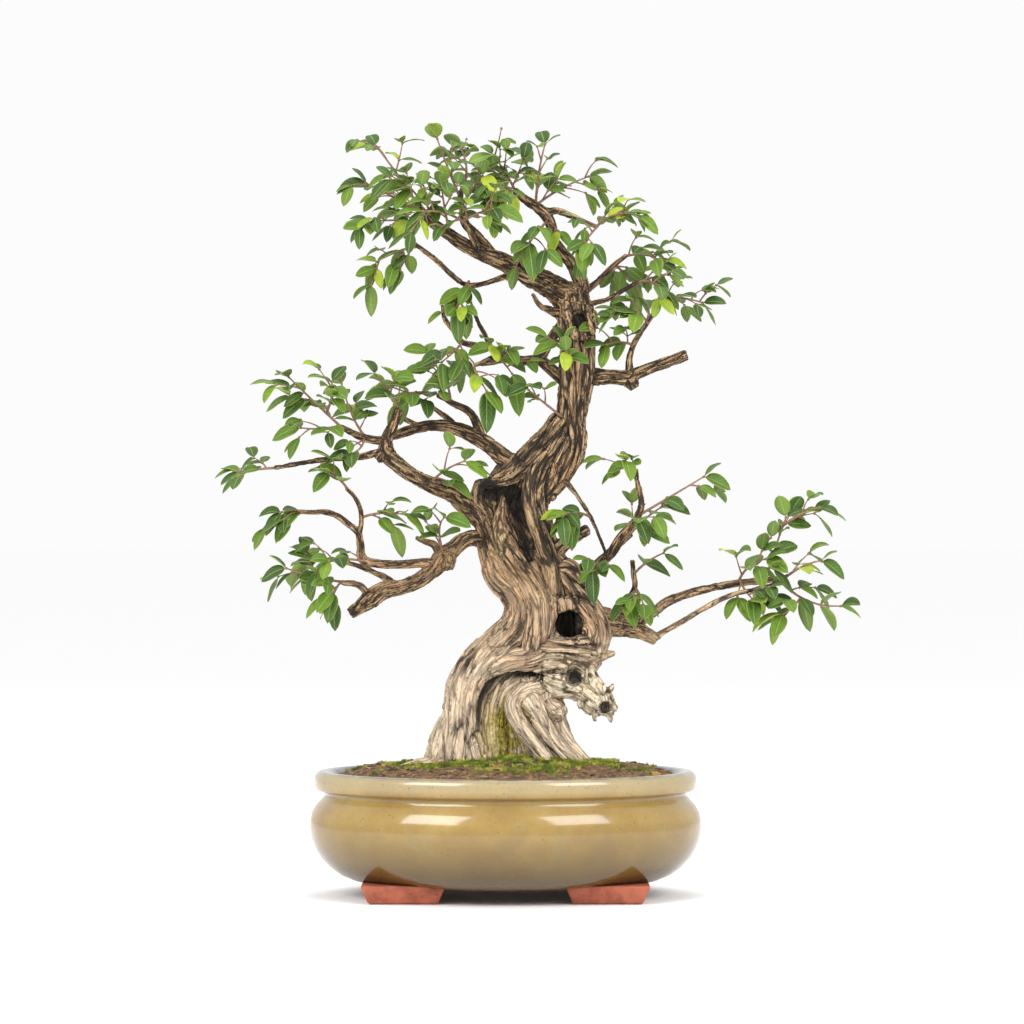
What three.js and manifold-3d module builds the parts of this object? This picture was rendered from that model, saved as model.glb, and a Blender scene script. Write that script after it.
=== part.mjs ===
// Japanese honeysuckle bonsai in an oval glazed pot.
// Millimetres, +Z up, the front of the pot faces -Y.
import * as THREE from "three";
import { mergeVertices } from "three/addons/utils/BufferGeometryUtils.js";
import Module from "manifold-3d";

const wasm = await Module();
wasm.setup();

// Driving dimensions
const POT_X = -28; // the pot's centre, seen from the middle of the whole part
const POT_HALF_WIDTH = 154.8;
const POT_DEPTH_SHARE = 0.78; // the oval's depth over its width
const POT_SEGMENTS = 28;
const RIM_HALF_WIDTH = 150.5;
const RIM_TOP = 98;
const FLOOR_UNDERSIDE = 10;
const FLOOR_TOP = 18;
const FOOT = { x: 79, y: 62, length: 66, depth: 40, taper: 0.82, height: 14 };
const DRAIN_HOLE = { x: 48, radius: 9 };
const SCREEN = { side: 40, thickness: 1.6, holes: 3, hole: 8.5 };
const GAP = 0.3; // between pieces that touch
const SOIL = { edge: 94, shoulder: 101, mound: 8, moundX: 8, moundHalfWidth: 78, moundHalfDepth: 58 };
const LEAF_THICKNESS = 0.8;
const LEAF_HALF_WIDTH_SHARE = 0.275; // of the leaf's length
const LEAF_SPACING = 4.8; // least distance between points of two blades
const SPRAY_SPACING = 2.4; // the same within one spray
const BARK_CLEARANCE = 1.6; // between a blade and the bark
const TWIG_CLEARANCE = 3.4; // between a blade and another spray's twig
const NODE_HALF_SIZE = 1.4; // the swelling of a twig where its leaves grow
const TWIG = { start: 1.3, end: 1, sides: 3 };
const BACK_LEAVES_FROM = 20; // leaves further back than this face backwards
const ATTEMPTS = 9; // directions tried for a leaf before it is left out
const SEED = 4481;
const KEY_STEPS = { shoot: 7919, pair: 577, side: 193, attempt: 41 };
// How far a leaf turns round its twig, leans along it, hangs and rolls, each with its random spread, in
// radians or as a share of its length
const LEAF = {
  turn: 1.05, turnSpread: 1.1, turnPerAttempt: 0.5,
  lean: 0.5, leanSpread: 0.5, leanAtTip: 0.2, sinkSpread: 0.22,
  length: 0.58, lengthSpread: 0.28, droop: 0.1, droopSpread: 0.34,
  roll: 0.6, rollSpread: 0.9,
};
// A strand of wood has this many lengths between two listed points, and low ridges round a thick one
const THICK_WOOD = { sides: 6, slimSides: 5, slimTo: 9, steps: 0.66, ridge: 0.05 };
const THIN_WOOD = { sides: 5, slimSides: 4, slimTo: 5, steps: 0.58, ridge: 0 };

const MATERIALS = {
  glaze: { color: 0xb49a62, roughness: 0.25, metalness: 0 },
  screen: { color: 0x20221f, roughness: 0.6, metalness: 0 },
  soil: { color: 0x4a3a24, roughness: 0.95, metalness: 0 },
  bark: { color: 0x8a7355, roughness: 0.9, metalness: 0 },
  leaf: { color: 0x5a7f3c, roughness: 0.55, metalness: 0 },
};

// A closed three.js geometry as a manifold solid
function toSolid(geometry) {
  const bare = geometry.clone();
  bare.deleteAttribute("normal");
  bare.deleteAttribute("uv");
  const merged = mergeVertices(bare, 1e-4);
  const corners = merged.index.array;
  const triVerts = [];
  for (let i = 0; i < corners.length; i += 3) {
    const [a, b, c] = corners.slice(i, i + 3);
    if (a !== b && b !== c && c !== a) triVerts.push(a, b, c);
  }
  const mesh = new wasm.Mesh({
    numProp: 3,
    vertProperties: Float32Array.from(merged.attributes.position.array),
    triVerts: Uint32Array.from(triVerts),
  });
  return new wasm.Manifold(mesh);
}

// A manifold solid back as a three.js geometry
function toGeometry(solid) {
  const mesh = solid.getMesh();
  const positions = new Float32Array(mesh.numVert * 3);
  for (let i = 0; i < mesh.numVert; i++) {
    const from = i * mesh.numProp;
    positions.set(mesh.vertProperties.subarray(from, from + 3), i * 3);
  }
  const geometry = new THREE.BufferGeometry();
  geometry.setAttribute("position", new THREE.BufferAttribute(positions, 3));
  geometry.setIndex(new THREE.BufferAttribute(Uint32Array.from(mesh.triVerts), 1));
  geometry.computeVertexNormals();
  return geometry;
}

function joined(solids) {
  return solids.reduce((all, next) => all.add(next));
}

// The largest body of a solid that a cut may have split
function largestBody(solid) {
  const bodies = solid.decompose();
  return bodies.reduce((best, next) => (next.volume() > best.volume() ? next : best));
}

function moved(geometry, x, y, z) {
  return geometry.translate(x, y, z);
}

// A repeatable random number between 0 and 1 for each whole-number key
function draw(key) {
  let t = (key + 0x6d2b79f5) | 0;
  t = Math.imul(t ^ (t >>> 15), t | 1);
  t ^= t + Math.imul(t ^ (t >>> 7), t | 61);
  return ((t ^ (t >>> 14)) >>> 0) / 4294967296;
}

// A cylinder bent along a curve: at is a list of [x, y, z, radius], fatten is added to each radius
function bentTube(at, sides, stepsPerSpan = 1, fatten = 0, ridge = 0) {
  const curve = new THREE.CatmullRomCurve3(at.map((p) => new THREE.Vector3(p[0], p[1], p[2])));
  const steps = Math.max(1, Math.round((at.length - 1) * stepsPerSpan));
  const frames = curve.computeFrenetFrames(steps);
  const geometry = new THREE.CylinderGeometry(1, 1, 1, sides, steps);
  const position = geometry.attributes.position;
  for (let i = 0; i < position.count; i++) {
    const ring = Math.round((position.getY(i) + 0.5) * steps);
    const u = ring / steps;
    const span = curve.getUtoTmapping(u) * (at.length - 1);
    const k = Math.min(at.length - 2, Math.floor(span));
    const base = THREE.MathUtils.lerp(at[k][3], at[k + 1][3], span - k) + fatten;
    const across = position.getX(i);
    const along = position.getZ(i);
    const angle = Math.atan2(along, across);
    const radius = base * (1 + ridge * Math.cos(3 * angle + 0.6 * ring));
    const point = curve.getPointAt(u);
    point.addScaledVector(frames.normals[ring], across * radius);
    point.addScaledVector(frames.binormals[ring], -along * radius);
    position.setXYZ(i, point.x, point.y, point.z);
  }
  return toSolid(geometry);
}

// Pot

function lathe(profile, segments) {
  const points = profile.map(([r, z]) => new THREE.Vector2(r, z));
  const geometry = new THREE.LatheGeometry(points, segments);
  geometry.rotateX(Math.PI / 2);
  geometry.scale(1, POT_DEPTH_SHARE, 1);
  return geometry;
}

const POT_INNER = [
  [136, RIM_TOP - 5],
  [138, 62],
  [130, 32],
  [112, FLOOR_TOP],
  [0, FLOOR_TOP],
];

function makePot() {
  const outer = [
    [0, FLOOR_UNDERSIDE],
    [110, FLOOR_UNDERSIDE],
    [132, 17],
    [146, 30],
    [152.5, 42],
    [POT_HALF_WIDTH, 54],
    [152, 67],
    [143, 78],
    [RIM_HALF_WIDTH - 1, 83],
    [RIM_HALF_WIDTH, 91],
    [RIM_HALF_WIDTH - 4, RIM_TOP],
    [RIM_HALF_WIDTH - 11, RIM_TOP - 0.5],
  ];
  let pot = toSolid(lathe([...outer, ...POT_INNER], POT_SEGMENTS));
  for (const sideX of [-1, 1]) {
    for (const sideY of [-1, 1]) pot = pot.add(makeFoot(sideX, sideY));
    const hole = new THREE.CylinderGeometry(DRAIN_HOLE.radius, DRAIN_HOLE.radius, 30, 16);
    hole.rotateX(Math.PI / 2);
    pot = pot.subtract(toSolid(moved(hole, sideX * DRAIN_HOLE.x, 0, FLOOR_TOP)));
  }
  return pot;
}

// A foot tapers towards the ground and leans out with the pot's body
function makeFoot(sideX, sideY) {
  const block = new THREE.BoxGeometry(FOOT.length, FOOT.depth, FOOT.height);
  const position = block.attributes.position;
  for (let i = 0; i < position.count; i++) {
    if (position.getZ(i) > 0) continue;
    position.setX(i, position.getX(i) * FOOT.taper);
    position.setY(i, position.getY(i) * FOOT.taper);
  }
  return toSolid(moved(block, sideX * FOOT.x, sideY * FOOT.y, FOOT.height / 2));
}

// Drain screen: a plastic plate with square openings, laid over the drain hole

function makeScreen(sideX) {
  const pitch = SCREEN.side / (SCREEN.holes + 0.4);
  let plate = toSolid(new THREE.BoxGeometry(SCREEN.side, SCREEN.side, SCREEN.thickness));
  for (let i = 0; i < SCREEN.holes; i++) {
    for (let j = 0; j < SCREEN.holes; j++) {
      const x = (i - (SCREEN.holes - 1) / 2) * pitch;
      const y = (j - (SCREEN.holes - 1) / 2) * pitch;
      const opening = new THREE.BoxGeometry(SCREEN.hole, SCREEN.hole, 3 * SCREEN.thickness);
      plate = plate.subtract(toSolid(moved(opening, x, y, 0)));
    }
  }
  return plate.translate(sideX * DRAIN_HOLE.x, 0, FLOOR_TOP + GAP + SCREEN.thickness / 2);
}

// Wood: every strand is a list of [x, y, z, radius]

const ROOTS = [
  // Left root column and its toes
  [[-38, -2, 92, 16], [-37, -2, 112, 15], [-35, -1, 132, 14], [-33, 0, 150, 14], [-28, 0, 168, 15],
    [-17, 0, 183, 16], [-3, 0, 195, 18], [11, 1, 207, 18], [17, 2, 224, 17]],
  [[-56, -4, 92, 11], [-53, -4, 112, 9.5], [-50, -3, 128, 7], [-43, -2, 144, 5]],
  [[-52, -6, 103, 9], [-66, -8, 101, 7], [-82, -10, 99, 4.6], [-96, -11, 97, 3]],
  [[-26, -8, 92, 11], [-27, -7, 112, 10], [-30, -4, 130, 8], [-31, -3, 150, 8]],
  [[-36, 24, 92, 10], [-32, 18, 118, 9], [-28, 12, 145, 10], [-16, 8, 170, 13], [2, 8, 188, 15]],
  // Mossy roots inside the arch and the wall behind them
  [[27, 12, 92, 19], [22, 12, 116, 17], [17, 11, 140, 15], [18, 8, 172, 15]],
  [[-10, 8, 92, 14], [-10, 8, 115, 13], [-9, 8, 138, 12], [-2, 7, 160, 11], [14, 6, 176, 13]],
  [[7, 13, 92, 13], [7, 13, 120, 12.5], [6, 11, 146, 12], [9, 8, 170, 11]],
  // Three root strands that curl out of the arch and run down to the right
  [[46, 1, 165, 9], [32, 0, 165, 9], [17, -3, 161, 8], [6, -6, 152, 6.5], [7, -8, 142, 6.5],
    [14, -9, 131, 6.5], [22, -10, 120, 6], [31, -10, 108, 5.5], [40, -10, 94, 5.5]],
  [[20, -2, 154, 10], [27, -5, 141, 8], [33, -7, 128, 6.5], [42, -8, 116, 5.5], [52, -8, 105, 5.2],
    [62, -8, 93, 5]],
  [[34, 0, 158, 9], [36, -1, 146, 8], [40, -2, 134, 6.5], [48, -3, 121, 5.5], [59, -4, 108, 5],
    [73, -4, 93, 5]],
  [[35, -5, 150, 6], [42, -9, 145, 7.5], [45, -11, 144, 4]],
  [[26, 14, 172, 15], [33, 22, 150, 12], [40, 26, 130, 10], [47, 30, 112, 9], [53, 34, 92, 9]],
  [[6, 16, 172, 13], [2, 24, 146, 10], [-6, 29, 120, 9], [-12, 33, 92, 9]],
];

const TRUNK = [
  // Core, the back wall of the hollows
  [[20, 6, 166, 13], [23, 6, 184, 19], [27, 6, 202, 24], [31, 6, 220, 26], [30, 6, 238, 23], [23, 7, 256, 16],
    [16, 12, 275, 13], [8, 15, 295, 12], [8, 15, 315, 12], [20, 9, 335, 14], [33, 5, 352, 15],
    [46, 2, 368, 12]],
  // Left shoulder that climbs to the left limb
  [[-20, -4, 184, 9], [-5, -7, 198, 11], [9, -9, 212, 12], [13, -9, 227, 13], [8, -7, 240, 13],
    [-2, -5, 252, 13], [-7, -3, 266, 12], [-11, -3, 281, 10], [-17, -2, 297, 8], [-22, -1, 311, 6],
    [-19, 0, 326, 5]],
  // Back wall of the hollow, left
  [[-2, 8, 284, 9], [-9, 10, 303, 9], [-6, 9, 322, 9], [6, 6, 340, 9]],
  // Lip over the arch
  [[-10, -8, 180, 8], [6, -11, 186, 9], [20, -12, 188, 10], [30, -10, 192, 9]],
  // Middle ridge
  [[20, -13, 192, 8], [24, -15, 208, 9], [25, -16, 224, 9], [21, -15, 240, 9], [12, -13, 255, 8.5],
    [3, -11, 270, 8], [-4, -9, 284, 6]],
  // Right strand, up the right side of the knothole and over to the upper trunk
  [[62, 2, 168, 6], [65, 0, 182, 8], [70, -2, 196, 10], [72, -3, 211, 10], [66, -3, 225, 9], [57, -3, 238, 9],
    [48, -4, 251, 9], [39, -5, 264, 8], [33, -5, 278, 7], [29, -5, 291, 7.5], [24, -4, 305, 9],
    [26, -3, 320, 11], [34, -2, 336, 12]],
  [[38, -12, 238, 5.5], [36, -12, 254, 5.5], [32, -11, 268, 5.5], [27, -10, 283, 5.5], [22, -9, 299, 6],
    [20, -9, 317, 6], [24, -8, 334, 7], [34, -6, 348, 8], [44, -3, 362, 8]],
  // Cheek under the knothole, and the short snag on the right
  [[28, -12, 197, 8], [46, -12, 194, 8], [64, -7, 192, 9]],
  [[68, -4, 186, 5], [77, -5, 189, 3.4], [86, -6, 191, 1.6]],
  // Upper trunk
  [[30, -2, 316, 9], [40, -1, 333, 12], [49, -1, 348, 12], [53, 0, 362, 10.5], [52, 0, 376, 11],
    [54, 0, 392, 12], [56, 0, 410, 13], [57, 0, 428, 12.5], [56, 0, 448, 14], [54, 0, 464, 14],
    [53, 0, 478, 11]],
  [[-21, -2, 324, 3], [-9, -4, 327, 5], [4, -5, 332, 7.5], [17, -4, 342, 9.5], [31, -2, 355, 10],
    [46, 0, 373, 10]],
  // Wood behind the knothole
  [[48, 12, 186, 10], [54, 14, 204, 13], [52, 14, 222, 14], [44, 12, 240, 12], [34, 10, 256, 10]],
  // Broken stub and the knobby wood right of the slit
  [[36, -4, 268, 7], [46, -7, 277, 5.5], [56, -9, 284, 5], [65, -10, 289, 4.2]],
  [[40, -5, 258, 8], [50, -8, 258, 6.5], [58, -8, 251, 5], [63, -8, 245, 3.5]],
];

const DEADWOOD = [
  [[24, -8, 182, 9], [38, -12, 185, 10], [52, -13, 183, 9.5], [63, -13, 174, 8], [72, -12, 162, 6.5],
    [78, -10, 154, 6]],
  [[34, -8, 172, 8], [46, -11, 166, 10], [57, -12, 163, 9], [66, -12, 156, 8], [74, -11, 149, 7]],
  [[77, -10, 157, 7], [78, -11, 149, 8.5], [78, -11, 143, 5]],
  [[71, -12, 157, 5], [78, -12, 161, 3.4], [84, -12, 163, 1.6]],
  [[60, -12, 154, 5], [66, -12, 147, 4.5], [68, -12, 143, 3]],
];

// Branches from the photograph's left to its right
const BRANCHES = [
  // Middle left limb
  [[12, 0, 338, 8], [0, 4, 343, 7], [-11, 6, 353, 6], [-25, 8, 362, 5.5], [-42, 10, 369, 5],
    [-55, 12, 371, 4.5],
    [-70, 14, 369, 4], [-86, 15, 364, 3.6], [-97, 15, 361, 2.8]],
  [[-19, 8, 360, 3.6], [-23, 9, 373, 3.3], [-28, 10, 381, 3], [-41, 8, 388, 2.6], [-54, 4, 395, 2]],
  [[-40, 10, 369, 2.6], [-44, 24, 375, 2.3], [-56, 38, 384, 2], [-66, 48, 392, 1.6]],
  [[-66, 14, 369, 2.4], [-76, 30, 374, 2], [-90, 44, 382, 1.6]],
  // Low left limb and its forked end
  [[-10, 0, 286, 9], [-20, -2, 298, 8], [-31, -4, 308, 7.5], [-42, -6, 317, 6.5], [-57, -9, 323, 6],
    [-73, -11, 331, 5.5], [-86, -12, 341, 5.5], [-94, -12, 350, 6], [-93, -12, 361, 4.6], [-88, -11, 372, 4],
    [-84, -10, 383, 3.8]],
  [[-91, -12, 352, 5.5], [-97, -12, 347, 5.5], [-101, -12, 344, 4]],
  [[-93, -12, 358, 3.2], [-109, -14, 360, 2.9], [-130, -17, 369, 2.4]],
  [[-97, -12, 350, 2.8], [-118, -14, 345, 2.4], [-138, -14, 344, 2.2], [-159, -12, 341, 2],
    [-182, -10, 337, 1.7]],
  // Lower left limb with its knot, and the level shoot that turns up
  [[-6, 0, 276, 9], [-18, -1, 281, 6.5], [-30, -3, 281, 6], [-40, -5, 274, 6], [-50, -7, 265, 7.5],
    [-58, -9, 256, 6], [-69, -11, 248, 5.5], [-82, -13, 243, 5.5], [-96, -14, 240, 6.5], [-107, -14, 233, 7],
    [-115, -14, 227, 5], [-122, -14, 222, 4.2]],
  [[-46, -8, 266, 7], [-46, -11, 258, 5.5]],
  [[-50, -5, 266, 4.5], [-56, -3, 276, 3], [-64, -2, 279, 2.4], [-71, -1, 282, 1.6]],
  [[-55, -9, 262, 4], [-69, -12, 262, 3.4], [-86, -16, 261, 3.2], [-104, -18, 262, 3.2],
    [-112, -18, 265, 3.4],
    [-114, -18, 276, 2.8], [-116, -17, 286, 2.6], [-124, -16, 293, 2.4], [-136, -15, 301, 2.1],
    [-155, -12, 302, 1.7], [-172, -10, 303, 1.4]],
  [[-115, -17, 284, 2], [-113, -20, 298, 1.8], [-117, -22, 312, 1.6], [-125, -23, 321, 1.3]],
  [[-107, -14, 234, 3], [-114, -17, 244, 2.5], [-129, -20, 247, 1.9]],
  [[-84, -13, 243, 3], [-92, 4, 248, 2.6], [-104, 20, 254, 2.2], [-120, 32, 260, 1.8], [-136, 40, 263, 1.5]],
  // Fork on the left of the upper trunk
  [[48, 0, 452, 5.5], [41, 1, 446, 4.2], [33, 2, 434, 4], [26, 2, 424, 4.4], [18, 2, 422, 4],
    [8, 3, 423, 3.2],
    [-2, 4, 427, 2.8], [-13, 5, 432, 2.6], [-25, 5, 434, 2.4], [-35, 4, 437, 2.4], [-41, 3, 446, 2.2],
    [-48, 2, 455, 1.8], [-50, 2, 466, 1.5]],
  [[52, 0, 400, 6], [43, 1, 409, 4.6], [34, 2, 417, 4.2], [26, 2, 424, 4]],
  [[-12, 5, 432, 2.1], [-16, 3, 442, 1.8], [-22, 1, 453, 1.6], [-26, -1, 465, 1.3]],
  [[4, 3, 425, 2.4], [-6, 18, 422, 2.1], [-20, 30, 420, 1.7]],
  [[-4, 4, 428, 2.2], [-14, -12, 422, 1.9], [-26, -24, 416, 1.5]],
  // Apex: the long left arm
  [[52, 0, 470, 12], [41, 0, 477, 10], [29, -1, 484, 8.5], [16, -2, 490, 7.5], [3, -3, 497, 6.5],
    [-10, -4, 503, 6], [-22, -5, 508, 5.5], [-34, -6, 514, 5], [-44, -6, 521, 4.5], [-55, -6, 528, 4],
    [-63, -5, 536, 3.2], [-70, -3, 546, 2.4]],
  [[-8, -3, 502, 4.2], [-16, 0, 513, 3.8], [-24, 3, 522, 3.5], [-32, 6, 531, 3.2], [-34, 8, 541, 2.8],
    [-36, 11, 552, 2.3], [-33, 13, 563, 1.8]],
  [[-30, -6, 512, 3], [-38, 12, 518, 2.6], [-50, 28, 526, 2.2], [-62, 40, 536, 1.7]],
  [[10, -2, 493, 2.8], [-2, 10, 488, 2.4], [-16, 14, 484, 2], [-30, 10, 482, 2], [-42, 0, 489, 1.9],
    [-55, -8, 501, 1.8], [-70, -12, 512, 1.5], [-84, -14, 522, 1.2]],
  [[-20, -5, 508, 2.6], [-26, -20, 518, 2.2], [-32, -34, 530, 1.7]],
  // Apex: the right arm
  [[56, 1, 470, 8], [60, 1, 481, 5.8], [56, 2, 491, 5], [51, 3, 500, 4.6], [44, 4, 508, 4.4],
    [38, 4, 518, 4.3],
    [36, 5, 529, 4.3], [32, 5, 537, 4.3], [24, 6, 544, 4], [15, 7, 550, 3.4], [7, 8, 557, 2.6]],
  [[31, 5, 540, 3], [41, 3, 540, 2.6], [52, 1, 536, 2.3], [63, -1, 531, 2], [72, -3, 527, 1.6]],
  [[37, 4, 522, 2.6], [34, 20, 530, 2.2], [28, 34, 540, 1.8]],
  // Twigs right of the apex
  [[58, -2, 462, 3], [69, -4, 467, 2], [80, -6, 470, 1.9], [93, -8, 477, 1.8], [106, -10, 484, 1.4]],
  [[62, 2, 476, 3], [74, 8, 486, 2.2], [86, 12, 498, 1.9], [96, 14, 506, 1.5]],
  [[44, -4, 458, 5], [36, -6, 461, 3.4], [27, -8, 465, 2], [21, -9, 474, 1.5]],
  // Upper right limb, cut off at its end, with the shoot that climbs from it
  [[58, 0, 410, 8], [72, 0, 409, 6], [85, -1, 409, 5.4], [96, -2, 408, 6], [105, -2, 412, 4.4],
    [118, -3, 417, 4], [132, -4, 422, 4], [143, -4, 426, 4]],
  [[98, -2, 406, 6], [102, -2, 400, 4]],
  [[98, -2, 408, 3.4], [98, -2, 424, 2.5], [101, -1, 434, 2.2], [106, 0, 443, 2], [112, 1, 452, 1.8],
    [119, 2, 462, 1.7], [125, 2, 472, 1.4]],
  // Twigs of the pad right of the slit
  [[58, -8, 250, 5], [66, -5, 253, 4.4], [74, -6, 262, 4], [83, -8, 270, 4], [90, -9, 281, 3.6],
    [97, -10, 289, 3.3], [105, -10, 300, 3], [107, -9, 311, 2.3], [104, -7, 324, 1.9], [103, -6, 336, 1.4]],
  [[90, 3, 222, 3.4], [92, 2, 228, 2.6], [97, 0, 234, 2.3], [102, -2, 243, 2.1], [101, -4, 253, 1.9],
    [100, -5, 264, 1.6]],
  [[84, -8, 272, 2.4], [92, 8, 278, 2.1], [100, 24, 284, 1.6]],
  [[44, -7, 330, 2.6], [57, -10, 314, 1.6], [67, -12, 298, 1.5], [75, -13, 280, 1.3], [79, -12, 268, 1.2]],
  // Right limb over the knothole's level and its long shoots
  [[56, 0, 216, 12], [70, 1, 217, 11], [83, 2, 215, 9.5], [94, 2, 212, 8], [104, 1, 209, 6.5],
    [112, 0, 205, 5.2], [119, -1, 201, 4.4]],
  [[100, 1, 212, 4.4], [108, 3, 217, 4], [118, 5, 224, 3.8], [128, 7, 231, 3.6], [143, 9, 237, 3.3],
    [163, 10, 242, 3], [185, 10, 246, 2.8], [206, 9, 248, 2.4], [219, 8, 250, 1.9]],
  [[116, -1, 202, 3.2], [124, -2, 207, 2.2], [138, -4, 215, 2], [158, -6, 227, 2], [179, -8, 237, 1.9],
    [196, -8, 241, 1.8], [211, -6, 245, 1.6], [223, -4, 253, 1.3]],
];

// The dead spike that stands in the upper hollow
const SPIKE = [[-1, -11, 272, 7], [-5, -10, 286, 6.5], [-5, -9, 298, 4.2], [-3, -9, 307, 2.6],
  [-2, -9, 316, 0.8]];

// Hollows cut into the wood, each a bent tube too
const HOLLOWS = [
  [[50, -44, 214, 13], [50, -16, 214, 12], [50, 2, 213, 9]],
  // The long slit: a front groove and a deeper one behind it
  [[-9, -17, 322, 9], [2, -18, 308, 13], [10, -18, 292, 9.5], [15, -19, 276, 8], [20, -20, 262, 5.5]],
  [[-6, -4, 320, 7], [3, -2, 306, 10], [11, -2, 290, 8], [16, -4, 276, 7], [20, -9, 263, 4.5]],
  [[54, -34, 173, 7.2], [54, -20, 172, 6.6], [55, -14, 171, 4]],
  [[79, -30, 148, 5.4], [78, -12, 149, 4.6], [74, -6, 153, 3]],
];

const ROUND_SCAR = { x: 58, y: -13, z: 452, radius: 11, lip: 2.6 };
const KNOT_LIP = { x: 50, y: -14, z: 214, radius: 16, lip: 5 };

// A rolled lip of callus wood in an upright ring facing the front
function makeLip({ x, y, z, radius, lip }) {
  const ring = new THREE.TorusGeometry(radius, lip, 5, 11);
  ring.rotateX(Math.PI / 2);
  return toSolid(moved(ring, x, y, z));
}

function makeWood(fatten) {
  const strand = (at, kind) => {
    const sides = at[0][3] > kind.slimTo ? kind.sides : kind.slimSides;
    return bentTube(at, sides, kind.steps, fatten, kind.ridge);
  };
  const thick = [...ROOTS, ...TRUNK, ...DEADWOOD].map((at) => strand(at, THICK_WOOD));
  const thin = BRANCHES.map((at) => strand(at, THIN_WOOD));
  return joined([...thick, ...thin]);
}

function makeTree() {
  let tree = makeWood(0).add(makeLip(ROUND_SCAR)).add(makeLip(KNOT_LIP));
  for (const at of HOLLOWS) tree = tree.subtract(bentTube(at, 7));
  return largestBody(tree.add(bentTube(SPIKE, 5)));
}

// Soil: fills the pot with a gap to its wall, rises to a mound under the trunk

function makeSoil(woodWithGap) {
  const inner = POT_INNER.slice(1).map(([r, z]) => [Math.max(0, r - 0.5), z + GAP]);
  const top = [
    [0, SOIL.shoulder],
    [42, SOIL.shoulder],
    [84, SOIL.shoulder],
    [118, SOIL.shoulder - 1.5],
    [135, SOIL.edge],
  ];
  const geometry = lathe([...inner.reverse(), ...top.reverse()], POT_SEGMENTS);
  const position = geometry.attributes.position;
  for (let i = 0; i < position.count; i++) {
    if (position.getZ(i) < SOIL.shoulder - 2) continue;
    const across = (position.getX(i) - SOIL.moundX) / SOIL.moundHalfWidth;
    const deep = position.getY(i) / SOIL.moundHalfDepth;
    const rise = SOIL.mound * Math.exp(-across * across - deep * deep);
    position.setZ(i, position.getZ(i) + rise);
  }
  let soil = toSolid(geometry);
  for (const sideX of [-1, 1]) {
    const side = SCREEN.side + 2 * GAP;
    const depth = SCREEN.thickness + GAP;
    const recess = new THREE.BoxGeometry(side, side, 2 * depth);
    soil = soil.subtract(toSolid(moved(recess, sideX * DRAIN_HOLE.x, 0, FLOOR_TOP + GAP)));
  }
  return largestBody(soil.subtract(woodWithGap));
}

// Leafy sprays. A shoot is [start, bend, tip, leaf pairs, leaf length]; the first shoot of a spray starts
// inside a branch, and a side shoot starts at a share of the first one's length.

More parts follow.
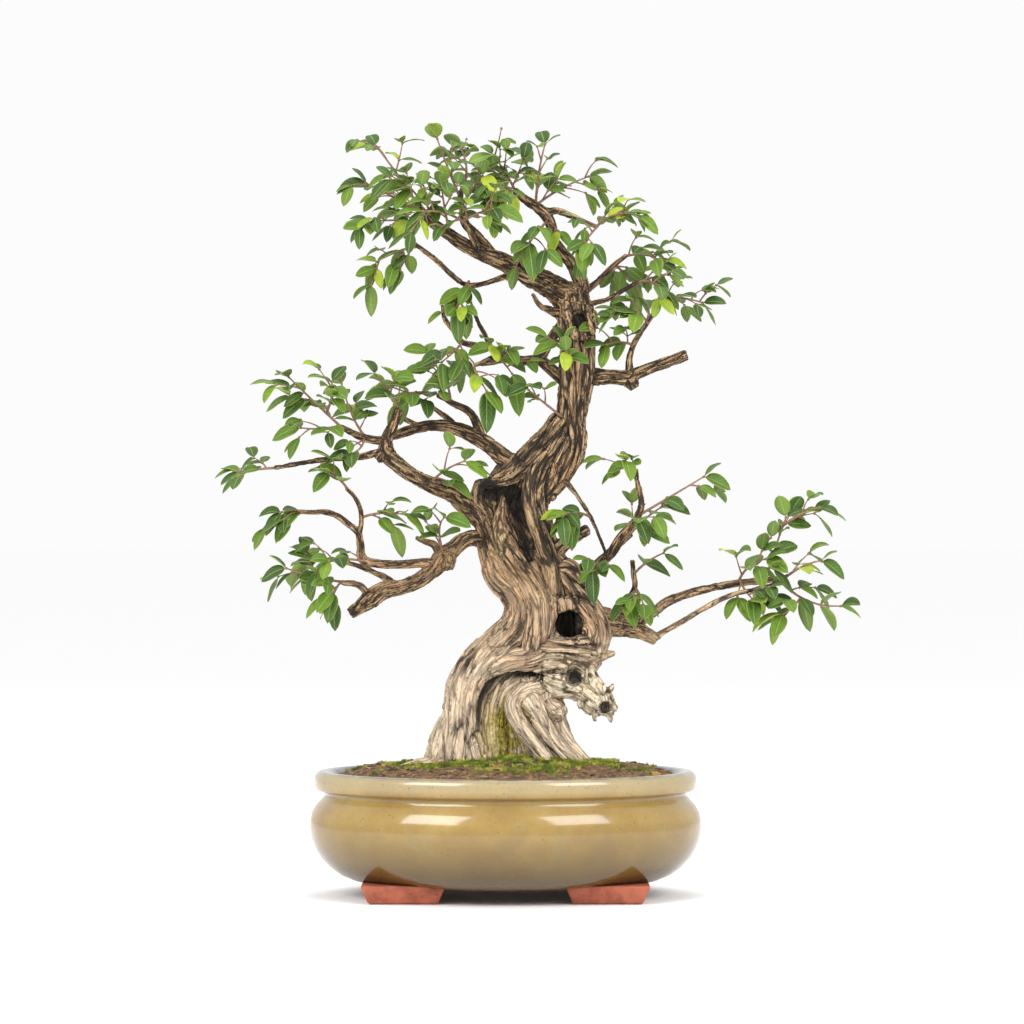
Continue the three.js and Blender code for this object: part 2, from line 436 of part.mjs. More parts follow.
const SPRAYS = {
  apex_1: [[[-54, -6, 527], [-80, -16, 534], [-108, -20, 530], 2, 29]],
  apex_2: [
    [[-65, -4, 539], [-86, 2, 550], [-110, 2, 562], 2, 29],
    [0.1, [-66, -20, 550], [-74, -36, 554], 1, 30],
  ],
  apex_3: [[[-69, -3, 544], [-84, -12, 568], [-102, -16, 590], 2, 28]],
  apex_6: [[[-60, 39, 535], [-74, 46, 548], [-92, 48, 558], 2, 28]],
  apex_7: [[[-44, -6, 521], [-48, -22, 540], [-50, -34, 556], 2, 30]],
  apex_8: [[[-36, 11, 551], [-46, 6, 574], [-54, 0, 597], 2, 27]],
  apex_9: [
    [[-33, 13, 561], [-28, 22, 578], [-36, 30, 592], 1, 27],
    [0.1, [-18, 26, 566], [-6, 40, 572], 2, 28],
  ],
  apex_11: [[[-35, 9, 545], [-26, -8, 556], [-18, -24, 566], 2, 29]],
  apex_14: [
    [[-31, -33, 528], [-46, -46, 538], [-64, -54, 536], 2, 30],
    [0.08, [-22, -42, 536], [-10, -50, 538], 1, 30],
  ],
  crown_1: [[[8, 8, 556], [0, 2, 572], [-10, -4, 584], 2, 27], [0.1, [2, -8, 556], [-12, -22, 550], 1, 29]],
  crown_3: [[[24, 6, 544], [24, -2, 566], [31, -7, 592], 2, 27]],
  crown_4: [[[24, 6, 545], [42, 14, 560], [66, 21, 569], 2, 29]],
  crown_6: [[[34, 5, 534], [26, -14, 524], [18, -28, 512], 2, 29]],
  drooping_1: [[[-69, -12, 511], [-84, -6, 510], [-102, 2, 500], 2, 27]],
  drooping_2: [[[-29, 8, 485], [-34, -4, 478], [-38, -14, 464], 2, 28]],
  right_1: [
    [[71, -3, 527], [80, -8, 536], [94, -14, 538], 2, 30],
    [0.15, [70, -16, 524], [62, -30, 514], 1, 29],
  ],
  right_3: [[[95, 14, 505], [104, 10, 508], [118, 6, 504], 2, 28]],
  right_4: [[[86, 12, 498], [92, 26, 496], [102, 38, 486], 2, 29]],
  right_6: [[[104, -10, 483], [112, -16, 486], [120, -22, 480], 1, 28]],
  climb_1: [[[124, 2, 471], [136, 4, 474], [156, 8, 468], 2, 28]],
  climb_2: [[[112, 1, 451], [110, -10, 456], [104, -20, 458], 1, 27]],
  climb_3: [[[101, -1, 434], [90, -8, 438], [80, -12, 434], 2, 27]],
  fork_1: [[[-34, 4, 437], [-38, -8, 430], [-50, -18, 420], 2, 29]],
  fork_2: [[[-19, 29, 420], [-30, 36, 418], [-45, 41, 411], 1, 29]],
  fork_3: [[[-25, -23, 416], [-22, -32, 408], [-15, -40, 397], 2, 30]],
  fork_4: [[[-12, 5, 431], [-4, -8, 424], [5, -18, 411], 2, 30]],
  trunk_shoot_1: [[[46, -8, 376], [30, -18, 388], [18, -22, 398], 1, 28]],
  trunk_shoot_2: [[[56, -8, 404], [48, -24, 420], [46, -28, 436], 1, 28]],
  left_1: [[[-53, 4, 395], [-62, -4, 398], [-76, -12, 396], 2, 30]],
  left_2: [[[-64, 46, 390], [-76, 52, 398], [-96, 54, 404], 2, 29]],
  left_3: [[[-84, -10, 382], [-88, -18, 396], [-102, -26, 410], 2, 30]],
  left_4: [
    [[-110, -14, 361], [-122, 2, 374], [-130, 10, 404], 2, 29],
    [0.06, [-110, -24, 352], [-120, -34, 348], 1, 30],
  ],
  left_5: [
    [[-128, -16, 368], [-150, -20, 388], [-170, -24, 408], 3, 27],
    [0.05, [-144, -26, 366], [-160, -32, 368], 1, 29],
    [0.3, [-134, -28, 392], [-136, -30, 404], 1, 28],
  ],
  left_7: [[[-44, 7, 389], [-42, -6, 402], [-57, -14, 416], 2, 29]],
  far_left: [[[-181, -10, 337], [-198, -8, 336], [-210, -7, 334], 2, 26]],
  low_1: [[[-60, -9, 324], [-50, -28, 336], [-32, -38, 342], 2, 30]],
  low_2: [[[-124, -23, 320], [-128, -28, 328], [-138, -34, 332], 2, 30]],
  low_3: [[[-154, -12, 302], [-164, -14, 304], [-176, -18, 302], 2, 30]],
  low_4: [
    [[-126, -19, 247], [-150, -24, 250], [-172, -22, 258], 2, 29],
    [0.06, [-132, -34, 244], [-134, -42, 240], 1, 30],
  ],
  low_6: [[[-102, -18, 262], [-128, -26, 268], [-150, -28, 264], 2, 29]],
  low_7: [[[-48, -8, 266], [-56, -26, 290], [-48, -36, 298], 2, 30]],
  low_8: [[[-132, 39, 262], [-146, 44, 266], [-158, 44, 262], 1, 28]],
  low_5: [[[-113, -20, 298], [-96, -26, 304], [-78, -30, 300], 2, 30]],
  pad_1: [[[103, -7, 334], [98, -10, 338], [90, -14, 336], 1, 27]],
  pad_2: [[[104, -10, 299], [131, -17, 315], [156, -13, 330], 2, 28]],
  pad_3: [[[97, -10, 289], [98, -24, 296], [104, -38, 296], 2, 30]],
  pad_4: [[[67, -12, 298], [58, -16, 304], [46, -20, 300], 2, 27]],
  pad_5: [[[102, -2, 243], [106, -12, 238], [108, -22, 230], 2, 28]],
  pad_6: [[[75, -6, 262], [72, -18, 264], [68, -29, 257], 2, 29]],
  pad_7: [[[101, -4, 253], [110, -14, 264], [124, -20, 270], 2, 28]],
  pad_8: [[[98, 22, 283], [108, 30, 296], [124, 34, 306], 1, 28]],
  far_right_1: [
    [[206, 9, 248], [214, 10, 276], [222, 8, 298], 3, 27],
    [0.85, [236, 2, 304], [248, -2, 306], 1, 27],
  ],
  far_right_2: [
    [[216, 8, 249], [236, -4, 226], [264, -8, 228], 3, 30],
    [0.4, [226, -12, 226], [218, -18, 222], 1, 30],
  ],
  far_right_3: [
    [[184, 10, 246], [190, 4, 262], [205, -2, 265], 2, 29],
    [0.1, [188, -6, 240], [194, -14, 234], 1, 29],
  ],
  far_right_4: [[[220, -4, 250], [234, -14, 262], [248, -18, 264], 2, 29]],
};

// Leaves: opposite pairs along each spray's twig, each blade arched down by its own weight

// A point and a direction on a shoot's curve, which starts along the line to its bend
function onShoot({ start, bend, tip }, t) {
  const curve = new THREE.QuadraticBezierCurve3(start, bend, tip);
  return { point: curve.getPoint(t), along: curve.getTangent(t) };
}

// Each shoot with its start worked out, in the order in which they are listed
const SHOOTS = Object.entries(SPRAYS).flatMap(([spray, shoots]) => {
  const made = [];
  for (const [from, bend, tip, pairs, leafLength] of shoots) {
    const start = made.length ? onShoot(made[0], from).point : new THREE.Vector3(...from);
    const [bendPoint, tipPoint] = [bend, tip].map((p) => new THREE.Vector3(...p));
    made.push({ spray, start, bend: bendPoint, tip: tipPoint, pairs, leafLength });
  }
  return made;
});

const UP = new THREE.Vector3(0, 0, 1);
const BACK = new THREE.Vector3(0, 1, 0);

// The frame of one leaf: where it grows, its direction, its width direction, length and droop
function leafFrame(shoot, shootIndex, pair, side, attempt) {
  const last = pair === shoot.pairs - 1;
  const { point, along } = onShoot(shoot, nodeShares(shoot)[pair]);
  const step = KEY_STEPS;
  const key = SEED + step.shoot * shootIndex + step.pair * pair + step.side * side + step.attempt * attempt;
  const across = new THREE.Vector3().crossVectors(along, Math.abs(along.z) > 0.85 ? BACK : UP).normalize();
  const above = new THREE.Vector3().crossVectors(across, along).normalize();
  const turn = (pair % 2) * LEAF.turn + (draw(key) - 0.5) * LEAF.turnSpread + attempt * LEAF.turnPerAttempt;
  const lean = LEAF.lean + LEAF.leanSpread * draw(key + 1) + (last ? LEAF.leanAtTip : 0);
  const sign = side ? -1 : 1;
  const out = across.multiplyScalar(Math.cos(turn) * sign).addScaledVector(above, Math.sin(turn) * sign);
  const heading = out.multiplyScalar(Math.cos(lean)).addScaledVector(along, Math.sin(lean));
  heading.z -= LEAF.sinkSpread * draw(key + 5);
  heading.normalize();
  const length = shoot.leafLength * (LEAF.length + LEAF.lengthSpread * draw(key + 2));
  const droop = LEAF.droop + LEAF.droopSpread * draw(key + 3);
  const flat = new THREE.Vector3().crossVectors(heading, Math.abs(heading.z) > 0.9 ? BACK : UP).normalize();
  const lift = new THREE.Vector3().crossVectors(flat, heading).normalize();
  const outwards = point.y > BACK_LEAVES_FROM ? 1 : -1;
  const roll = LEAF.roll * outwards * heading.x + (draw(key + 4) - 0.5) * LEAF.rollSpread;
  const width = flat.multiplyScalar(Math.cos(roll)).addScaledVector(lift, Math.sin(roll));
  return { point, along, heading, width, length, droop };
}

// A point on the blade: s runs from stalk to tip, w from edge to edge
function onBlade(frame, s, w) {
  const point = frame.point.clone().addScaledVector(frame.heading, frame.length * s);
  point.z -= frame.length * frame.droop * s * s;
  return point.addScaledVector(frame.width, w);
}

function halfWidthAt(frame, s) {
  return frame.length * LEAF_HALF_WIDTH_SHARE * Math.pow(Math.sin(Math.PI * Math.pow(s, 0.85)), 0.7);
}

function bladeSamples(frame) {
  const samples = [];
  for (const s of [0.3, 0.5, 0.7, 0.88]) {
    const reach = 0.85 * halfWidthAt(frame, s);
    for (const w of [-reach, 0, reach]) samples.push(onBlade(frame, s, w));
  }
  samples.push(onBlade(frame, 1, 0));
  return samples;
}

// Straight lengths of bark-covered wood and of twigs: [start, end, radius]
function lengthsOf(at) {
  return at.slice(1).map((to, i) => {
    const from = at[i];
    const start = new THREE.Vector3(from[0], from[1], from[2]);
    const end = new THREE.Vector3(to[0], to[1], to[2]);
    return { start, end, radius: Math.max(from[3], to[3]) };
  });
}

function distanceTo({ start, end, radius }, point) {
  const line = end.clone().sub(start);
  const share = THREE.MathUtils.clamp(point.clone().sub(start).dot(line) / line.lengthSq(), 0, 1);
  return start.clone().addScaledVector(line, share).distanceTo(point) - radius;
}

const WOOD_LENGTHS = [...ROOTS, ...TRUNK, ...DEADWOOD, ...BRANCHES].flatMap(lengthsOf);
const TWIG_LENGTHS = SHOOTS.map((shoot) =>
  lengthsOf([0.15, 0.4, 0.7, 1].map((t) => [...onShoot(shoot, t).point.toArray(), TWIG.start])),
);

function isClear(samples, shoot, grown) {
  const nearWood = WOOD_LENGTHS.some((wood) => samples.some((p) => distanceTo(wood, p) < BARK_CLEARANCE));
  if (nearWood) return false;
  const nearTwig = TWIG_LENGTHS.some(
    (twig, other) =>
      SHOOTS[other].spray !== shoot.spray &&
      twig.some((piece) => samples.some((p) => distanceTo(piece, p) < TWIG_CLEARANCE)),
  );
  if (nearTwig) return false;
  return !grown.some((leaf) => {
    const least = leaf.spray === shoot.spray ? SPRAY_SPACING : LEAF_SPACING;
    return leaf.samples.some((q) => samples.some((p) => p.distanceTo(q) < least));
  });
}

function growLeaves() {
  const grown = [];
  SHOOTS.forEach((shoot, shootIndex) => {
    for (let pair = shoot.pairs - 1; pair >= 0; pair--) {
      for (const side of [0, 1]) {
        for (let attempt = 0; attempt < ATTEMPTS; attempt++) {
          const frame = leafFrame(shoot, shootIndex, pair, side, attempt);
          const samples = bladeSamples(frame);
          if (!isClear(samples, shoot, grown)) continue;
          grown.push({ spray: shoot.spray, shoot, pair, frame, samples });
          break;
        }
      }
    }
  });
  return grown;
}

// The leaves of one pair are a single strip, a thin box bent from tip to tip through the swollen node between
// them. Each blade narrows to an upright edge at its tip. A leaf with no partner ends behind the node.
const BLADE_STATIONS = [1, 0.7, 0.34];

function slopeAt(frame, s) {
  const slope = frame.heading.clone();
  slope.z -= 2 * frame.droop * s;
  return slope;
}

// One cross-section of a strip: its middle, its half width and its half thickness
function crossSection(center, wide, tangent, halfWidth, halfThickness) {
  const thick = wide.clone().cross(tangent).normalize().multiplyScalar(halfThickness);
  return { center, wide: wide.clone().multiplyScalar(halfWidth), thick };
}

function bladeSections(frame, towardsTip) {
  const wide = frame.width.clone().multiplyScalar(frame.width.dot(frame.along) > 0 ? -1 : 1);
  const sections = BLADE_STATIONS.map((s) => {
    const tangent = slopeAt(frame, s).multiplyScalar(towardsTip ? 1 : -1);
    const reach = s === 1 ? 0 : halfWidthAt(frame, s);
    return crossSection(onBlade(frame, s, 0), wide, tangent, reach, LEAF_THICKNESS / 2);
  });
  return towardsTip ? sections.reverse() : sections;
}

// Splits the back face of a thin box along the same diagonals as its front face, so that the two stay apart
// where the box twists. A box geometry has its back face in its last group, as quads of two triangles.
function splitAlike(geometry) {
  const { start, count } = geometry.groups[5];
  const corners = geometry.index.array;
  for (let i = start; i < start + count; i += 6) {
    const [a, b, d, , c] = corners.slice(i, i + 6);
    corners.set([a, b, c, a, c, d], i);
  }
}

function makePair(frames) {
  const [first, second] = frames;
  const back = first.along.clone().negate();
  const through = second ? second.heading.clone().sub(first.heading) : first.heading.clone().negate();
  through.addScaledVector(first.along, -through.dot(first.along)).normalize();
  const sections = bladeSections(first, false);
  for (const end of [-NODE_HALF_SIZE, NODE_HALF_SIZE]) {
    const center = first.point.clone().addScaledVector(through, end);
    sections.push(crossSection(center, back, through, NODE_HALF_SIZE, NODE_HALF_SIZE));
  }
  if (second) sections.push(...bladeSections(second, true));
  const spans = sections.length - 1;
  const geometry = new THREE.BoxGeometry(2, 1, 2, 1, spans, 1);
  splitAlike(geometry);
  const position = geometry.attributes.position;
  for (let i = 0; i < position.count; i++) {
    const { center, wide, thick } = sections[Math.round((position.getY(i) + 0.5) * spans)];
    const point = center.clone().addScaledVector(wide, position.getX(i));
    point.addScaledVector(thick, position.getZ(i));
    position.setXYZ(i, point.x, point.y, point.z);
  }
  return toSolid(geometry);
}

// The share of the shoot's length at which each pair grows
function nodeShares({ pairs }) {
  if (pairs === 1) return [1];
  return Array.from({ length: pairs }, (_, pair) => 0.4 + (0.6 * pair) / (pairs - 1));
}

// Straight lengths of twig from node to node
function makeTwig(shoot) {
  const at = [0, ...nodeShares(shoot)].map((t) => {
    return [...onShoot(shoot, t).point.toArray(), THREE.MathUtils.lerp(TWIG.start, TWIG.end, t)];
  });
  return joined(at.slice(1).map((to, i) => bentTube([at[i], to], TWIG.sides)));
}

function makeSpray(name, leaves, woodWithGap) {
  const twigs = SHOOTS.filter((shoot) => shoot.spray === name).map(makeTwig);
  const pairs = new Map();
  for (const { spray, shoot, pair, frame } of leaves) {
    if (spray !== name) continue;
    const key = `${SHOOTS.indexOf(shoot)} ${pair}`;
    pairs.set(key, [...(pairs.get(key) ?? []), frame]);
  }
  return largestBody(joined([...twigs, ...[...pairs.values()].map(makePair)]).subtract(woodWithGap));
}

const woodWithGap = makeWood(GAP);
const leaves = growLeaves();
const part = new THREE.Group();
function addPiece(name, solid, look) {
  const mesh = new THREE.Mesh(toGeometry(solid), new THREE.MeshStandardMaterial(MATERIALS[look]));
  mesh.name = name;
  part.add(mesh);
}
addPiece("pot", makePot(), "glaze");
addPiece("drain_screen_left", makeScreen(-1), "screen");
addPiece("drain_screen_right", makeScreen(1), "screen");
addPiece("soil", makeSoil(woodWithGap), "soil");
addPiece("tree_wood", makeTree(), "bark");
for (const name of Object.keys(SPRAYS)) {
  addPiece("spray_" + name, makeSpray(name, leaves, woodWithGap), "leaf");
}

part.position.set(POT_X, 0, 0);

export default part;
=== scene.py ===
# Japanese honeysuckle bonsai in an oval glazed pot: the looks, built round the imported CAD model.
# Blender works in metres. The tables are in millimetres, from the middle of the pot at ground level.
import math

import bpy
import numpy as np
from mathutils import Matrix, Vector, noise


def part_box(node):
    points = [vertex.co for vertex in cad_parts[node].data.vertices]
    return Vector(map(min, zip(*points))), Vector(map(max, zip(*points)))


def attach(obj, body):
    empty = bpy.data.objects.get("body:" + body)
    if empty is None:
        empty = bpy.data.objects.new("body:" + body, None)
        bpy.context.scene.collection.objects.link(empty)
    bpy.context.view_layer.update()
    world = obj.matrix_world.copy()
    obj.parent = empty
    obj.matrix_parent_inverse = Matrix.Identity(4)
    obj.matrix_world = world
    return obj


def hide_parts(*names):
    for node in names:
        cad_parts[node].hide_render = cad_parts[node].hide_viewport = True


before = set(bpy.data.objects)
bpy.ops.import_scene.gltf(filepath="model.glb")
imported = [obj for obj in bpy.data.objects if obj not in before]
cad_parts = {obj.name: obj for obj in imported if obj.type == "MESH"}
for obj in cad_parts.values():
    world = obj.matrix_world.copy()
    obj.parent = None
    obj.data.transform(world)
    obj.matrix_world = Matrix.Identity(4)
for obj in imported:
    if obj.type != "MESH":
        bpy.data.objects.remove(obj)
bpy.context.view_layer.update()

MM = 0.001
pot_low, pot_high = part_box("pot")
POT_CENTRE_X = (pot_low.x + pot_high.x) / 2
SEED = 4481


def metres(point):
    """A place from the tables, in Blender's metres"""
    return Vector((POT_CENTRE_X + point[0] * MM, point[1] * MM, point[2] * MM))


# Dimensions shared with the CAD source

POT_DEPTH_SHARE = 0.78
POT_TURNS = 160
FOOT = {"x": 79, "y": 62, "length": 66, "depth": 40, "taper": 0.82, "height": 14}
DRAIN_HOLE = {"x": 48, "radius": 9}
SOIL = {"shoulder": 101, "mound": 8, "x": 8, "half_width": 78, "half_depth": 58}

# Wood: every strand is a list of [x, y, z, radius]

ROOTS = [
    # Left root column and its toes
    [[-38, -2, 92, 16], [-37, -2, 112, 15], [-35, -1, 132, 14], [-33, 0, 150, 14], [-28, 0, 168, 15],
     [-17, 0, 183, 16], [-3, 0, 195, 18], [11, 1, 207, 18], [17, 2, 224, 17]],
    [[-56, -4, 92, 11], [-53, -4, 112, 9.5], [-50, -3, 128, 7], [-43, -2, 144, 5]],
    [[-52, -6, 103, 9], [-66, -8, 101, 7], [-82, -10, 99, 4.6], [-96, -11, 97, 3]],
    [[-26, -8, 92, 11], [-27, -7, 112, 10], [-30, -4, 130, 8], [-31, -3, 150, 8]],
    [[-36, 24, 92, 10], [-32, 18, 118, 9], [-28, 12, 145, 10], [-16, 8, 170, 13], [2, 8, 188, 15]],
    # Mossy roots inside the arch and the wall behind them
    [[27, 12, 92, 19], [22, 12, 116, 17], [17, 11, 140, 15], [18, 8, 172, 15]],
    [[-10, 8, 92, 14], [-10, 8, 115, 13], [-9, 8, 138, 12], [-2, 7, 160, 11], [14, 6, 176, 13]],
    [[7, 13, 92, 13], [7, 13, 120, 12.5], [6, 11, 146, 12], [9, 8, 170, 11]],
    # Three root strands that curl out of the arch and run down to the right
    [[46, 1, 165, 9], [32, 0, 165, 9], [17, -3, 161, 8], [6, -6, 152, 6.5], [7, -8, 142, 6.5],
     [14, -9, 131, 6.5], [22, -10, 120, 6], [31, -10, 108, 5.5], [40, -10, 94, 5.5]],
    [[20, -2, 154, 10], [27, -5, 141, 8], [33, -7, 128, 6.5], [42, -8, 116, 5.5], [52, -8, 105, 5.2],
     [62, -8, 93, 5]],
    [[34, 0, 158, 9], [36, -1, 146, 8], [40, -2, 134, 6.5], [48, -3, 121, 5.5], [59, -4, 108, 5],
     [73, -4, 93, 5]],
    [[35, -5, 150, 6], [42, -9, 145, 7.5], [45, -11, 144, 4]],
    [[26, 14, 172, 15], [33, 22, 150, 12], [40, 26, 130, 10], [47, 30, 112, 9], [53, 34, 92, 9]],
    [[6, 16, 172, 13], [2, 24, 146, 10], [-6, 29, 120, 9], [-12, 33, 92, 9]],
]

TRUNK = [
    # Core, the back wall of the hollows
    [[20, 6, 166, 13], [23, 6, 184, 19], [27, 6, 202, 24], [31, 6, 220, 26], [30, 6, 238, 23],
     [23, 7, 256, 16], [16, 12, 275, 13], [8, 15, 295, 12], [8, 15, 315, 12], [20, 9, 335, 14],
     [33, 5, 352, 15], [46, 2, 368, 12]],
    # Left shoulder that climbs to the left limb
    [[-20, -4, 184, 9], [-5, -7, 198, 11], [9, -9, 212, 12], [13, -9, 227, 13], [8, -7, 240, 13],
     [-2, -5, 252, 13], [-7, -3, 266, 12], [-11, -3, 281, 10], [-17, -2, 297, 8], [-22, -1, 311, 6],
     [-19, 0, 326, 5]],
    # Back wall of the hollow, left
    [[-2, 8, 284, 9], [-9, 10, 303, 9], [-6, 9, 322, 9], [6, 6, 340, 9]],
    # Lip over the arch
    [[-10, -8, 180, 8], [6, -11, 186, 9], [20, -12, 188, 10], [30, -10, 192, 9]],
    # Middle ridge
    [[20, -13, 192, 8], [24, -15, 208, 9], [25, -16, 224, 9], [21, -15, 240, 9], [12, -13, 255, 8.5],
     [3, -11, 270, 8], [-4, -9, 284, 6]],
    # Right strand, up the right side of the knothole and over to the upper trunk
    [[62, 2, 168, 6], [65, 0, 182, 8], [70, -2, 196, 10], [72, -3, 211, 10], [66, -3, 225, 9],
     [57, -3, 238, 9], [48, -4, 251, 9], [39, -5, 264, 8], [33, -5, 278, 7], [29, -5, 291, 7.5],
     [24, -4, 305, 9], [26, -3, 320, 11], [34, -2, 336, 12]],
    [[38, -12, 238, 5.5], [36, -12, 254, 5.5], [32, -11, 268, 5.5], [27, -10, 283, 5.5],
     [22, -9, 299, 6], [20, -9, 317, 6], [24, -8, 334, 7], [34, -6, 348, 8], [44, -3, 362, 8]],
    # Cheek under the knothole, and the short snag on the right
    [[28, -12, 197, 8], [46, -12, 194, 8], [64, -7, 192, 9]],
    [[68, -4, 186, 5], [77, -5, 189, 3.4], [86, -6, 191, 1.6]],
    # Upper trunk
    [[30, -2, 316, 9], [40, -1, 333, 12], [49, -1, 348, 12], [53, 0, 362, 10.5], [52, 0, 376, 11],
     [54, 0, 392, 12], [56, 0, 410, 13], [57, 0, 428, 12.5], [56, 0, 448, 14], [54, 0, 464, 14],
     [53, 0, 478, 11]],
    [[-21, -2, 324, 3], [-9, -4, 327, 5], [4, -5, 332, 7.5], [17, -4, 342, 9.5], [31, -2, 355, 10],
     [46, 0, 373, 10]],
    # Wood behind the knothole
    [[48, 12, 186, 10], [54, 14, 204, 13], [52, 14, 222, 14], [44, 12, 240, 12], [34, 10, 256, 10]],
    # Broken stub and the knobby wood right of the slit
    [[36, -4, 268, 7], [46, -7, 277, 5.5], [56, -9, 284, 5], [65, -10, 289, 4.2]],
    [[40, -5, 258, 8], [50, -8, 258, 6.5], [58, -8, 251, 5], [63, -8, 245, 3.5]],
]

DEADWOOD = [
    [[24, -8, 182, 9], [38, -12, 185, 10], [52, -13, 183, 9.5], [63, -13, 174, 8], [72, -12, 162, 6.5],
     [78, -10, 154, 6]],
    [[34, -8, 172, 8], [46, -11, 166, 10], [57, -12, 163, 9], [66, -12, 156, 8], [74, -11, 149, 7]],
    [[77, -10, 157, 7], [78, -11, 149, 8.5], [78, -11, 143, 5]],
    [[71, -12, 157, 5], [78, -12, 161, 3.4], [84, -12, 163, 1.6]],
    [[60, -12, 154, 5], [66, -12, 147, 4.5], [68, -12, 143, 3]],
]

